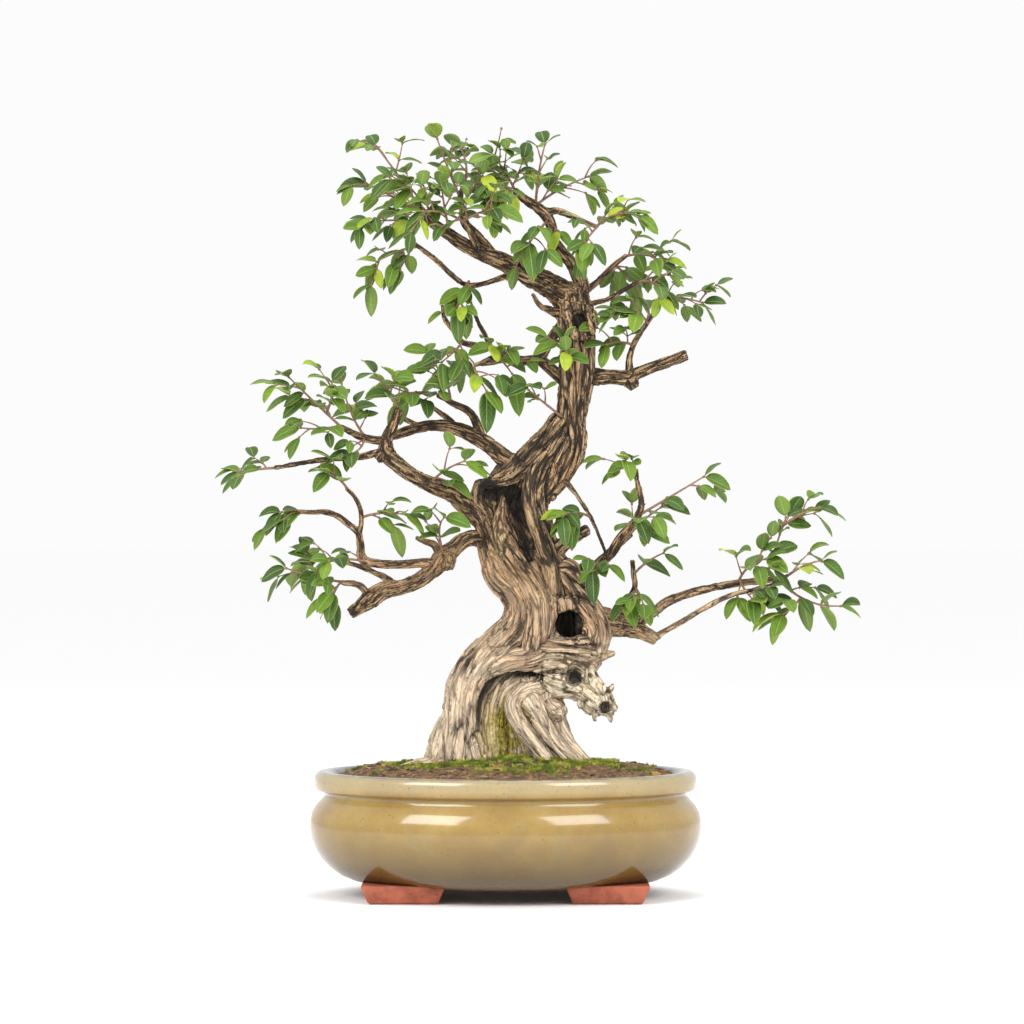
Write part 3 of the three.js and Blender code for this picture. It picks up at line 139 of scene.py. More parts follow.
# Branches from the photograph's left to its right
BRANCHES = [
    # Middle left limb
    [[12, 0, 338, 8], [0, 4, 343, 7], [-11, 6, 353, 6], [-25, 8, 362, 5.5], [-42, 10, 369, 5],
     [-55, 12, 371, 4.5], [-70, 14, 369, 4], [-86, 15, 364, 3.6], [-97, 15, 361, 2.8]],
    [[-19, 8, 360, 3.6], [-23, 9, 373, 3.3], [-28, 10, 381, 3], [-41, 8, 388, 2.6], [-54, 4, 395, 2]],
    [[-40, 10, 369, 2.6], [-44, 24, 375, 2.3], [-56, 38, 384, 2], [-66, 48, 392, 1.6]],
    [[-66, 14, 369, 2.4], [-76, 30, 374, 2], [-90, 44, 382, 1.6]],
    # Low left limb and its forked end
    [[-10, 0, 286, 9], [-20, -2, 298, 8], [-31, -4, 308, 7.5], [-42, -6, 317, 6.5], [-57, -9, 323, 6],
     [-73, -11, 331, 5.5], [-86, -12, 341, 5.5], [-94, -12, 350, 6], [-93, -12, 361, 4.6],
     [-88, -11, 372, 4], [-84, -10, 383, 3.8]],
    [[-91, -12, 352, 5.5], [-97, -12, 347, 5.5], [-101, -12, 344, 4]],
    [[-93, -12, 358, 3.2], [-109, -14, 360, 2.9], [-130, -17, 369, 2.4]],
    [[-97, -12, 350, 2.8], [-118, -14, 345, 2.4], [-138, -14, 344, 2.2], [-159, -12, 341, 2],
     [-182, -10, 337, 1.7]],
    # Lower left limb with its knot, and the level shoot that turns up
    [[-6, 0, 276, 9], [-18, -1, 281, 6.5], [-30, -3, 281, 6], [-40, -5, 274, 6], [-50, -7, 265, 7.5],
     [-58, -9, 256, 6], [-69, -11, 248, 5.5], [-82, -13, 243, 5.5], [-96, -14, 240, 6.5],
     [-107, -14, 233, 7], [-115, -14, 227, 5], [-122, -14, 222, 4.2]],
    [[-46, -8, 266, 7], [-46, -11, 258, 5.5]],
    [[-50, -5, 266, 4.5], [-56, -3, 276, 3], [-64, -2, 279, 2.4], [-71, -1, 282, 1.6]],
    [[-55, -9, 262, 4], [-69, -12, 262, 3.4], [-86, -16, 261, 3.2], [-104, -18, 262, 3.2],
     [-112, -18, 265, 3.4], [-114, -18, 276, 2.8], [-116, -17, 286, 2.6], [-124, -16, 293, 2.4],
     [-136, -15, 301, 2.1], [-155, -12, 302, 1.7], [-172, -10, 303, 1.4]],
    [[-115, -17, 284, 2], [-113, -20, 298, 1.8], [-117, -22, 312, 1.6], [-125, -23, 321, 1.3]],
    [[-107, -14, 234, 3], [-114, -17, 244, 2.5], [-129, -20, 247, 1.9]],
    [[-84, -13, 243, 3], [-92, 4, 248, 2.6], [-104, 20, 254, 2.2], [-120, 32, 260, 1.8],
     [-136, 40, 263, 1.5]],
    # Fork on the left of the upper trunk
    [[48, 0, 452, 5.5], [41, 1, 446, 4.2], [33, 2, 434, 4], [26, 2, 424, 4.4], [18, 2, 422, 4],
     [8, 3, 423, 3.2], [-2, 4, 427, 2.8], [-13, 5, 432, 2.6], [-25, 5, 434, 2.4], [-35, 4, 437, 2.4],
     [-41, 3, 446, 2.2], [-48, 2, 455, 1.8], [-50, 2, 466, 1.5]],
    [[52, 0, 400, 6], [43, 1, 409, 4.6], [34, 2, 417, 4.2], [26, 2, 424, 4]],
    [[-12, 5, 432, 2.1], [-16, 3, 442, 1.8], [-22, 1, 453, 1.6], [-26, -1, 465, 1.3]],
    [[4, 3, 425, 2.4], [-6, 18, 422, 2.1], [-20, 30, 420, 1.7]],
    [[-4, 4, 428, 2.2], [-14, -12, 422, 1.9], [-26, -24, 416, 1.5]],
    # Apex: the long left arm
    [[52, 0, 470, 12], [41, 0, 477, 10], [29, -1, 484, 8.5], [16, -2, 490, 7.5], [3, -3, 497, 6.5],
     [-10, -4, 503, 6], [-22, -5, 508, 5.5], [-34, -6, 514, 5], [-44, -6, 521, 4.5], [-55, -6, 528, 4],
     [-63, -5, 536, 3.2], [-70, -3, 546, 2.4]],
    [[-8, -3, 502, 4.2], [-16, 0, 513, 3.8], [-24, 3, 522, 3.5], [-32, 6, 531, 3.2], [-34, 8, 541, 2.8],
     [-36, 11, 552, 2.3], [-33, 13, 563, 1.8]],
    [[-30, -6, 512, 3], [-38, 12, 518, 2.6], [-50, 28, 526, 2.2], [-62, 40, 536, 1.7]],
    [[10, -2, 493, 2.8], [-2, 10, 488, 2.4], [-16, 14, 484, 2], [-30, 10, 482, 2], [-42, 0, 489, 1.9],
     [-55, -8, 501, 1.8], [-70, -12, 512, 1.5], [-84, -14, 522, 1.2]],
    [[-20, -5, 508, 2.6], [-26, -20, 518, 2.2], [-32, -34, 530, 1.7]],
    # Apex: the right arm
    [[56, 1, 470, 8], [60, 1, 481, 5.8], [56, 2, 491, 5], [51, 3, 500, 4.6], [44, 4, 508, 4.4],
     [38, 4, 518, 4.3], [36, 5, 529, 4.3], [32, 5, 537, 4.3], [24, 6, 544, 4], [15, 7, 550, 3.4],
     [7, 8, 557, 2.6]],
    [[31, 5, 540, 3], [41, 3, 540, 2.6], [52, 1, 536, 2.3], [63, -1, 531, 2], [72, -3, 527, 1.6]],
    [[37, 4, 522, 2.6], [34, 20, 530, 2.2], [28, 34, 540, 1.8]],
    # Twigs right of the apex
    [[58, -2, 462, 3], [69, -4, 467, 2], [80, -6, 470, 1.9], [93, -8, 477, 1.8], [106, -10, 484, 1.4]],
    [[62, 2, 476, 3], [74, 8, 486, 2.2], [86, 12, 498, 1.9], [96, 14, 506, 1.5]],
    [[44, -4, 458, 5], [36, -6, 461, 3.4], [27, -8, 465, 2], [21, -9, 474, 1.5]],
    # Upper right limb, cut off at its end, with the shoot that climbs from it
    [[58, 0, 410, 8], [72, 0, 409, 6], [85, -1, 409, 5.4], [96, -2, 408, 6], [105, -2, 412, 4.4],
     [118, -3, 417, 4], [132, -4, 422, 4], [143, -4, 426, 4]],
    [[98, -2, 406, 6], [102, -2, 400, 4]],
    [[98, -2, 408, 3.4], [98, -2, 424, 2.5], [101, -1, 434, 2.2], [106, 0, 443, 2], [112, 1, 452, 1.8],
     [119, 2, 462, 1.7], [125, 2, 472, 1.4]],
    # Twigs of the pad right of the slit
    [[58, -8, 250, 5], [66, -5, 253, 4.4], [74, -6, 262, 4], [83, -8, 270, 4], [90, -9, 281, 3.6],
     [97, -10, 289, 3.3], [105, -10, 300, 3], [107, -9, 311, 2.3], [104, -7, 324, 1.9],
     [103, -6, 336, 1.4]],
    [[90, 3, 222, 3.4], [92, 2, 228, 2.6], [97, 0, 234, 2.3], [102, -2, 243, 2.1], [101, -4, 253, 1.9],
     [100, -5, 264, 1.6]],
    [[84, -8, 272, 2.4], [92, 8, 278, 2.1], [100, 24, 284, 1.6]],
    [[44, -7, 330, 2.6], [57, -10, 314, 1.6], [67, -12, 298, 1.5], [75, -13, 280, 1.3],
     [79, -12, 268, 1.2]],
    # Right limb over the knothole's level and its long shoots
    [[56, 0, 216, 12], [70, 1, 217, 11], [83, 2, 215, 9.5], [94, 2, 212, 8], [104, 1, 209, 6.5],
     [112, 0, 205, 5.2], [119, -1, 201, 4.4]],
    [[100, 1, 212, 4.4], [108, 3, 217, 4], [118, 5, 224, 3.8], [128, 7, 231, 3.6], [143, 9, 237, 3.3],
     [163, 10, 242, 3], [185, 10, 246, 2.8], [206, 9, 248, 2.4], [219, 8, 250, 1.9]],
    [[116, -1, 202, 3.2], [124, -2, 207, 2.2], [138, -4, 215, 2], [158, -6, 227, 2],
     [179, -8, 237, 1.9], [196, -8, 241, 1.8], [211, -6, 245, 1.6], [223, -4, 253, 1.3]],
]

# The dead spike that stands in the upper hollow
SPIKE = [[-1, -11, 272, 7], [-5, -10, 286, 6.5], [-5, -9, 298, 4.2], [-3, -9, 307, 2.6],
    [-2, -9, 316, 0.8]]

# Hollows cut into the wood, each a bent tube too: the knothole, the long slit with a groove in front and a
# deeper one behind, the eye of the dead wood and its open end
SLIT_FRONT = [[-9, -17, 322, 9], [2, -18, 308, 13], [10, -18, 292, 9.5], [15, -19, 276, 8],
    [20, -20, 262, 5.5]]
SLIT_BACK = [[-6, -4, 320, 7], [3, -2, 306, 10], [11, -2, 290, 8], [16, -4, 276, 7], [20, -9, 263, 4.5]]
HOLLOWS = [
    [[50, -44, 214, 13], [50, -16, 214, 12], [50, 2, 213, 9]],
    SLIT_FRONT,
    SLIT_BACK,
    [[54, -34, 173, 7.2], [54, -20, 172, 6.6], [55, -14, 171, 4]],
    [[79, -30, 148, 5.4], [78, -12, 149, 4.6], [74, -6, 153, 3]],
]

SCAR_LIP = {"x": 58, "y": -15, "z": 452, "radius": 11, "lip": 3.4}
KNOT_LIP = {"x": 50, "y": -14, "z": 214, "radius": 16, "lip": 5}

# Leafy sprays. A shoot is [start, bend, tip, leaf pairs, leaf length], and a side shoot starts at a share of
# the first one's length.
SPRAYS = {
    "apex_1": [[[-54, -6, 527], [-80, -16, 534], [-108, -20, 530], 2, 29]],
    "apex_2": [
      [[-65, -4, 539], [-86, 2, 550], [-110, 2, 562], 2, 29],
      [0.1, [-66, -20, 550], [-74, -36, 554], 1, 30],
    ],
    "apex_3": [[[-69, -3, 544], [-84, -12, 568], [-102, -16, 590], 2, 28]],
    "apex_6": [[[-60, 39, 535], [-74, 46, 548], [-92, 48, 558], 2, 28]],
    "apex_7": [[[-44, -6, 521], [-48, -22, 540], [-50, -34, 556], 2, 30]],
    "apex_8": [[[-36, 11, 551], [-46, 6, 574], [-54, 0, 597], 2, 27]],
    "apex_9": [
      [[-33, 13, 561], [-28, 22, 578], [-36, 30, 592], 1, 27],
      [0.1, [-18, 26, 566], [-6, 40, 572], 2, 28],
    ],
    "apex_11": [[[-35, 9, 545], [-26, -8, 556], [-18, -24, 566], 2, 29]],
    "apex_14": [
      [[-31, -33, 528], [-46, -46, 538], [-64, -54, 536], 2, 30],
      [0.08, [-22, -42, 536], [-10, -50, 538], 1, 30],
    ],
    "crown_1": [
      [[8, 8, 556], [0, 2, 572], [-10, -4, 584], 2, 27],
      [0.1, [2, -8, 556], [-12, -22, 550], 1, 29],
    ],
    "crown_3": [[[24, 6, 544], [24, -2, 566], [31, -7, 592], 2, 27]],
    "crown_4": [[[24, 6, 545], [42, 14, 560], [66, 21, 569], 2, 29]],
    "crown_6": [[[34, 5, 534], [26, -14, 524], [18, -28, 512], 2, 29]],
    "drooping_1": [[[-69, -12, 511], [-84, -6, 510], [-102, 2, 500], 2, 27]],
    "drooping_2": [[[-29, 8, 485], [-34, -4, 478], [-38, -14, 464], 2, 28]],
    "right_1": [
      [[71, -3, 527], [80, -8, 536], [94, -14, 538], 2, 30],
      [0.15, [70, -16, 524], [62, -30, 514], 1, 29],
    ],
    "right_3": [[[95, 14, 505], [104, 10, 508], [118, 6, 504], 2, 28]],
    "right_4": [[[86, 12, 498], [92, 26, 496], [102, 38, 486], 2, 29]],
    "right_6": [[[104, -10, 483], [112, -16, 486], [120, -22, 480], 1, 28]],
    "climb_1": [[[124, 2, 471], [136, 4, 474], [156, 8, 468], 2, 28]],
    "climb_2": [[[112, 1, 451], [110, -10, 456], [104, -20, 458], 1, 27]],
    "climb_3": [[[101, -1, 434], [90, -8, 438], [80, -12, 434], 2, 27]],
    "fork_1": [[[-34, 4, 437], [-38, -8, 430], [-50, -18, 420], 2, 29]],
    "fork_2": [[[-19, 29, 420], [-30, 36, 418], [-45, 41, 411], 1, 29]],
    "fork_3": [[[-25, -23, 416], [-22, -32, 408], [-15, -40, 397], 2, 30]],
    "fork_4": [[[-12, 5, 431], [-4, -8, 424], [5, -18, 411], 2, 30]],
    "trunk_shoot_1": [[[46, -8, 376], [30, -18, 388], [18, -22, 398], 1, 28]],
    "trunk_shoot_2": [[[56, -8, 404], [48, -24, 420], [46, -28, 436], 1, 28]],
    "left_1": [[[-53, 4, 395], [-62, -4, 398], [-76, -12, 396], 2, 30]],
    "left_2": [[[-64, 46, 390], [-76, 52, 398], [-96, 54, 404], 2, 29]],
    "left_3": [[[-84, -10, 382], [-88, -18, 396], [-102, -26, 410], 2, 30]],
    "left_4": [
      [[-110, -14, 361], [-122, 2, 374], [-130, 10, 404], 2, 29],
      [0.06, [-110, -24, 352], [-120, -34, 348], 1, 30],
    ],
    "left_5": [
      [[-128, -16, 368], [-150, -20, 388], [-170, -24, 408], 3, 27],
      [0.05, [-144, -26, 366], [-160, -32, 368], 1, 29],
      [0.3, [-134, -28, 392], [-136, -30, 404], 1, 28],
    ],
    "left_7": [[[-44, 7, 389], [-42, -6, 402], [-57, -14, 416], 2, 29]],
    "far_left": [[[-181, -10, 337], [-198, -8, 336], [-210, -7, 334], 2, 26]],
    "low_1": [[[-60, -9, 324], [-50, -28, 336], [-32, -38, 342], 2, 30]],
    "low_2": [[[-124, -23, 320], [-128, -28, 328], [-138, -34, 332], 2, 30]],
    "low_3": [[[-154, -12, 302], [-164, -14, 304], [-176, -18, 302], 2, 30]],
    "low_4": [
      [[-126, -19, 247], [-150, -24, 250], [-172, -22, 258], 2, 29],
      [0.06, [-132, -34, 244], [-134, -42, 240], 1, 30],
    ],
    "low_6": [[[-102, -18, 262], [-128, -26, 268], [-150, -28, 264], 2, 29]],
    "low_7": [[[-48, -8, 266], [-56, -26, 290], [-48, -36, 298], 2, 30]],
    "low_8": [[[-132, 39, 262], [-146, 44, 266], [-158, 44, 262], 1, 28]],
    "low_5": [[[-113, -20, 298], [-96, -26, 304], [-78, -30, 300], 2, 30]],
    "pad_1": [[[103, -7, 334], [98, -10, 338], [90, -14, 336], 1, 27]],
    "pad_2": [[[104, -10, 299], [131, -17, 315], [156, -13, 330], 2, 28]],
    "pad_3": [[[97, -10, 289], [98, -24, 296], [104, -38, 296], 2, 30]],
    "pad_4": [[[67, -12, 298], [58, -16, 304], [46, -20, 300], 2, 27]],
    "pad_5": [[[102, -2, 243], [106, -12, 238], [108, -22, 230], 2, 28]],
    "pad_6": [[[75, -6, 262], [72, -18, 264], [68, -29, 257], 2, 29]],
    "pad_7": [[[101, -4, 253], [110, -14, 264], [124, -20, 270], 2, 28]],
    "pad_8": [[[98, 22, 283], [108, 30, 296], [124, 34, 306], 1, 28]],
    "far_right_1": [
      [[206, 9, 248], [214, 10, 276], [222, 8, 298], 3, 27],
      [0.85, [236, 2, 304], [248, -2, 306], 1, 27],
    ],
    "far_right_2": [
      [[216, 8, 249], [236, -4, 226], [264, -8, 228], 3, 30],
      [0.4, [226, -12, 226], [218, -18, 222], 1, 30],
    ],
    "far_right_3": [
      [[184, 10, 246], [190, 4, 262], [205, -2, 265], 2, 29],
      [0.1, [188, -6, 240], [194, -14, 234], 1, 29],
    ],
    "far_right_4": [[[220, -4, 250], [234, -14, 262], [248, -18, 264], 2, 29]],
}

# Leaves: the same seeded rule as in the CAD source, so each leaf here stands where its solid does

LEAF = {
    "turn": 1.05, "turn_spread": 1.1, "turn_per_attempt": 0.5,
    "lean": 0.5, "lean_spread": 0.5, "lean_at_tip": 0.2, "sink_spread": 0.22,
    "length": 0.58, "length_spread": 0.28, "droop": 0.1, "droop_spread": 0.34,
    "roll": 0.6, "roll_spread": 0.9,
}
KEY_STEPS = {"shoot": 7919, "pair": 577, "side": 193, "attempt": 41}
HALF_WIDTH_SHARE = 0.275
LEAF_SPACING = 4.8
SPRAY_SPACING = 2.4
BARK_CLEARANCE = 1.6
TWIG_CLEARANCE = 3.4
TWIG_RADIUS = 1.3
BACK_LEAVES_FROM = 20
ATTEMPTS = 9
UP = np.array([0.0, 0.0, 1.0])
BACK = np.array([0.0, 1.0, 0.0])
WORD = 0xFFFFFFFF


def draw(key):
    """A repeatable number from 0 to 1 for each whole number"""
    t = (key + 0x6D2B79F5) & WORD
    t = ((t ^ (t >> 15)) * (t | 1)) & WORD
    t ^= (t + ((t ^ (t >> 7)) * (t | 61))) & WORD
    return (t ^ (t >> 14)) / 4294967296


def unit(vector):
    return vector / np.linalg.norm(vector)


def on_shoot(shoot, t):
    return shoot["start"] * (1 - t) ** 2 + shoot["bend"] * 2 * t * (1 - t) + shoot["tip"] * t * t


def along_shoot(shoot, t):
    return unit(on_shoot(shoot, min(1, t + 1e-4)) - on_shoot(shoot, max(0, t - 1e-4)))


def list_shoots(sprays):
    shoots = []
    for spray, listed in sprays.items():
        first = None
        for start, bend, tip, pairs, leaf_length in listed:
            at = np.array(start, float) if first is None else on_shoot(first, start)
            shoot = {
                "spray": spray, "start": at, "bend": np.array(bend, float), "tip": np.array(tip, float),
                "pairs": pairs, "leaf_length": leaf_length,
            }
            first = first or shoot
            shoots.append(shoot)
    return shoots


def node_shares(shoot):
    pairs = shoot["pairs"]
    return [1.0] if pairs == 1 else [0.4 + 0.6 * pair / (pairs - 1) for pair in range(pairs)]


def leaf_frame(shoot, shoot_index, pair, side, attempt):
    """Where a leaf grows, its direction, its width direction, its length and its droop"""
    share = node_shares(shoot)[pair]
    point, along = on_shoot(shoot, share), along_shoot(shoot, share)
    key = SEED + KEY_STEPS["shoot"] * shoot_index + KEY_STEPS["pair"] * pair
    key += KEY_STEPS["side"] * side + KEY_STEPS["attempt"] * attempt
    across = unit(np.cross(along, BACK if abs(along[2]) > 0.85 else UP))
    above = unit(np.cross(across, along))
    turn = (pair % 2) * LEAF["turn"] + (draw(key) - 0.5) * LEAF["turn_spread"]
    turn += attempt * LEAF["turn_per_attempt"]
    lean = LEAF["lean"] + LEAF["lean_spread"] * draw(key + 1)
    lean += LEAF["lean_at_tip"] if pair == shoot["pairs"] - 1 else 0
    sign = -1 if side else 1
    out = across * math.cos(turn) * sign + above * math.sin(turn) * sign
    heading = out * math.cos(lean) + along * math.sin(lean)
    heading[2] -= LEAF["sink_spread"] * draw(key + 5)
    heading = unit(heading)
    length = shoot["leaf_length"] * (LEAF["length"] + LEAF["length_spread"] * draw(key + 2))
    droop = LEAF["droop"] + LEAF["droop_spread"] * draw(key + 3)
    flat = unit(np.cross(heading, BACK if abs(heading[2]) > 0.9 else UP))
    lift = unit(np.cross(flat, heading))
    outwards = 1 if point[1] > BACK_LEAVES_FROM else -1
    roll = LEAF["roll"] * outwards * heading[0] + (draw(key + 4) - 0.5) * LEAF["roll_spread"]
    width = flat * math.cos(roll) + lift * math.sin(roll)
    return {
        "point": point, "along": along, "heading": heading, "width": width, "length": length, "droop": droop,
        "tone": draw(key + 6),
    }


def on_blade(leaf, s, w):
    point = leaf["point"] + leaf["heading"] * leaf["length"] * s + leaf["width"] * w
    point[2] -= leaf["length"] * leaf["droop"] * s * s
    return point


def blade_samples(leaf):
    samples = []
    for s in (0.3, 0.5, 0.7, 0.88):
        half = leaf["length"] * HALF_WIDTH_SHARE * math.sin(math.pi * s**0.85) ** 0.7
        samples += [on_blade(leaf, s, w) for w in (-0.85 * half, 0, 0.85 * half)]
    return np.array(samples + [on_blade(leaf, 1, 0)])


def lengths_of(strands):
    """Starts, lines and radii of the straight lengths of all strands"""
    starts, lines, radii = [], [], []
    for strand in strands:
        for a, b in zip(strand, strand[1:]):
            starts.append(a[:3])
            lines.append([b[i] - a[i] for i in range(3)])
            radii.append(max(a[3], b[3]))
    return np.array(starts, float), np.array(lines, float), np.array(radii, float)


def least_distance(lengths, samples):
    """For each length, how near its surface comes to the nearest of the samples"""
    starts, lines, radii = lengths
    away = samples[:, None] - starts[None]
    share = np.clip((away * lines).sum(2) / (lines**2).sum(1), 0, 1)
    return (np.linalg.norm(away - share[..., None] * lines, axis=2) - radii).min(0)


WOOD_LENGTHS = lengths_of(ROOTS + TRUNK + DEADWOOD + BRANCHES)
HIGHEST_SIDE_LEAF = 596  # the leaves that only this file adds end below this height


class Foliage:
    """The leaves grown so far and the twigs that new ones keep clear of"""

    def __init__(self):
        self.leaves = []
        self.samples = np.zeros((0, 3))
        self.owners = np.zeros(0, int)
        self.names = {}

    def number(self, spray):
        return self.names.setdefault(spray, len(self.names))

    def know_twigs(self, shoots):
        strands, owners = [], []
        for shoot in shoots:
            strands.append([[*on_shoot(shoot, t), TWIG_RADIUS] for t in (0.15, 0.4, 0.7, 1)])
            owners += [self.number(shoot["spray"])] * 3
        self.twigs, self.twig_owners = lengths_of(strands), np.array(owners)

    def is_clear(self, samples, owner, ease):
        if ease < 1 and samples[:, 2].max() > HIGHEST_SIDE_LEAF:
            return False
        if least_distance(WOOD_LENGTHS, samples).min() < BARK_CLEARANCE * ease:
            return False
        others = self.twig_owners != owner
        if (least_distance(self.twigs, samples)[others] < TWIG_CLEARANCE * ease).any():
            return False
        if not len(self.samples):
            return True
        apart = np.linalg.norm(self.samples[:, None] - samples[None], axis=2).min(1)
        return not (apart < np.where(self.owners == owner, SPRAY_SPACING, LEAF_SPACING) * ease).any()

    def grow(self, shoots, first_index=0, ease=1.0):
        for index, shoot in enumerate(shoots, first_index):
            owner = self.number(shoot["spray"])
            for pair in reversed(range(shoot["pairs"])):
                for side in (0, 1):
                    for attempt in range(ATTEMPTS):
                        leaf = leaf_frame(shoot, index, pair, side, attempt)
                        samples = blade_samples(leaf)
                        if self.is_clear(samples, owner, ease):
                            self.leaves.append({**leaf, "spray": shoot["spray"]})
                            self.samples = np.vstack([self.samples, samples])
                            self.owners = np.concatenate([self.owners, [owner] * len(samples)])
                            break


# Meshes

def deselect():
    """Leaves edit mode and chooses nothing"""
    if bpy.context.object and bpy.context.object.mode != "OBJECT":
        bpy.ops.object.mode_set(mode="OBJECT")
    bpy.ops.object.select_all(action="DESELECT")


def select(*pieces):
    deselect()
    for piece in pieces:
        piece.select_set(True)
    bpy.context.view_layer.objects.active = pieces[0]


def apply_modifier(piece, kind, **settings):
    select(piece)
    modifier = piece.modifiers.new(kind, kind)
    for name, value in settings.items():
        setattr(modifier, name, value)
    bpy.ops.object.modifier_apply(modifier=modifier.name)


def join(name, pieces):
    select(*pieces)
    if len(pieces) > 1:
        bpy.ops.object.join()
    piece = bpy.context.object
    piece.name = piece.data.name = name
    return piece


def settle(piece):
    """Moves a piece's place into its mesh and lets it stand with the rest of the object"""
    select(piece)
    bpy.ops.object.transform_apply(location=True, rotation=True, scale=True)
    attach(piece, "root")


def mesh_piece(name, vertices, faces, smooth=True):
    mesh = bpy.data.meshes.new(name)
    mesh.from_pydata(vertices, [], faces)
    piece = bpy.data.objects.new(name, mesh)
    bpy.context.scene.collection.objects.link(piece)
    if smooth:
        mesh.shade_smooth()
    return piece


def set_attribute(piece, name, values):
    """Keeps one number or one vector for each vertex, for the material to read"""
    kind, field = ("FLOAT_VECTOR", "vector") if np.ndim(values) == 2 else ("FLOAT", "value")
    attribute = piece.data.attributes.new(name, kind, "POINT")
    attribute.data.foreach_set(field, np.ravel(values).astype(np.float32))


def positions(piece, field="co"):
    """A row of x, y and z for each vertex: its place, or its normal"""
    at = np.zeros(len(piece.data.vertices) * 3)
    piece.data.vertices.foreach_get(field, at)
    return at.reshape(-1, 3)


def set_positions(piece, at):
    piece.data.vertices.foreach_set("co", at.ravel())
    piece.data.update()


# Materials

class Look:
    """A material whose nodes are added one by one to its Principled shader"""

    def __init__(self, name, **finish):
        self.material = bpy.data.materials.new(name)
        self.material.use_nodes = True
        self.tree = self.material.node_tree
        self.shader = self.tree.nodes["Principled BSDF"]
        for socket, value in finish.items():
            self.shader.inputs[socket.replace("_", " ")].default_value = value

    def add(self, kind, sockets=None, **settings):
        node = self.tree.nodes.new("ShaderNode" + kind)
        for name, value in settings.items():
            setattr(node, name, value)
        for key, value in (sockets or {}).items():
            if isinstance(value, bpy.types.NodeSocket):
                self.tree.links.new(value, node.inputs[key])
            else:
                node.inputs[key].default_value = value
        return node

    def attribute(self, name, output="Fac"):
        return self.add("Attribute", attribute_name=name).outputs[output]

    def place(self):
        return self.add("TexCoord").outputs["Object"]

    def stretched(self, vector, scale):
        return self.add("Mapping", {"Vector": vector, "Scale": scale}).outputs["Vector"]

    def noise(self, vector, scale, detail=4.0, roughness=0.55):
        sockets = {"Vector": vector, "Scale": scale, "Detail": detail, "Roughness": roughness}
        return self.add("TexNoise", sockets).outputs["Fac"]

    def math(self, operation, a, b=0.0):
        return self.add("Math", {0: a, 1: b}, operation=operation).outputs[0]

    def times(self, a, b):
        return self.math("MULTIPLY", a, b)

    def spread(self, value, low, high, to_low=0.0, to_high=1.0):
        sockets = {"Value": value, "From Min": low, "From Max": high, "To Min": to_low, "To Max": to_high}
        return self.add("MapRange", sockets).outputs["Result"]

    def ramp(self, value, *stops):
        node = self.add("ValToRGB", {"Fac": value})
        elements = node.color_ramp.elements
        while len(elements) < len(stops):
            elements.new(1)
        for element, (at, colour) in zip(elements, stops):
            element.position = at
            element.color = (*colour, 1)
        return node.outputs["Color"]

    def mix(self, share, a, b, blend="MIX"):
        node = self.add("Mix", data_type="RGBA", blend_type=blend)
        for socket, value in ((node.inputs[0], share), (node.inputs[6], a), (node.inputs[7], b)):
            if isinstance(value, bpy.types.NodeSocket):
                self.tree.links.new(value, socket)
            elif isinstance(value, tuple):
                socket.default_value = (*value, 1)
            else:
                socket.default_value = value
        return node.outputs[2]

    def bump(self, height, strength, depth):
        return self.add("Bump", {"Height": height, "Strength": strength, "Distance": depth}).outputs["Normal"]

    def finish(self, colour, normal=None):
        self.tree.links.new(colour, self.shader.inputs["Base Color"])
        if normal is not None:
            self.tree.links.new(normal, self.shader.inputs["Normal"])
        return self.material


def paint(piece, slot, *materials):
    piece.data.materials.clear()
    for material in materials:
        piece.data.materials.append(material)


def rgb(*screen):
    """A colour given as 0 to 255 screen values, turned into the shader's linear ones"""
    return tuple(((c / 255 + 0.055) / 1.055) ** 2.4 if c > 10 else c / 255 / 12.92 for c in screen)


def glaze_look():
    look = Look("olive_honey_glaze", Roughness=0.16, Coat_Weight=0.5, Coat_Roughness=0.06)
    place = look.place()
    height = look.add("SeparateXYZ", {"Vector": place}).outputs["Z"]
    cloud = look.noise(place, 30.0, 4.0, 0.6)
    run = look.noise(look.stretched(place, (60, 60, 14)), 1.0, 5.0)
    colour = look.ramp(cloud, (0.3, rgb(134, 106, 50)), (0.55, rgb(149, 121, 60)), (0.75, rgb(159, 134, 74)))
    colour = look.mix(look.spread(run, 0.5, 0.75, 0, 0.4), colour, rgb(126, 118, 80))
    # Painted shade: the glaze is darkened towards the bottom of the belly, where less light falls
    colour = look.mix(look.spread(height, 0.014, 0.064, 0.95, 0.0), colour, rgb(70, 50, 20))
    colour = look.mix(look.spread(height, 0.085, 0.091, 0.0, 0.5), colour, rgb(168, 158, 130))
    speck = look.add("TexVoronoi", {"Vector": place, "Scale": 230.0}).outputs["Distance"]
    specked = look.spread(look.noise(place, 70.0), 0.5, 0.58)
    chosen = look.times(look.spread(speck, 0.10, 0.2, 1, 0), specked)
    colour = look.mix(look.times(chosen, 0.6), colour, rgb(84, 62, 34))
    grain = look.noise(place, 420.0, 3.0)
    colour = look.mix(look.spread(grain, 0.55, 0.75, 0, 0.3), colour, rgb(110, 88, 50))
    edge = look.times(look.attribute("rim_edge"), look.spread(look.noise(place, 90.0, 5.0), 0.25, 0.55))
    colour = look.mix(edge, colour, rgb(58, 70, 86))
    # Painted shade in the groove under the rim, and a darker band at the foot of the belly
    colour = look.mix(look.attribute("groove_shade_and_dark_base"), colour, rgb(112, 80, 42))
    return look.finish(colour, normal=look.bump(look.noise(place, 45.0, 3.0), 0.14, 0.0006))


def clay_look():
    look = Look("fired_clay", Roughness=0.8)
    place = look.place()
    colour = look.ramp(look.noise(place, 120.0, 6.0), (0.35, rgb(136, 70, 49)), (0.6, rgb(166, 90, 66)))
    chip = look.spread(look.noise(place, 320.0, 2.0), 0.66, 0.7)
    colour = look.mix(look.times(chip, 0.5), colour, rgb(70, 40, 30))
    return look.finish(colour, normal=look.bump(look.noise(place, 600.0, 4.0), 0.3, 0.0004))


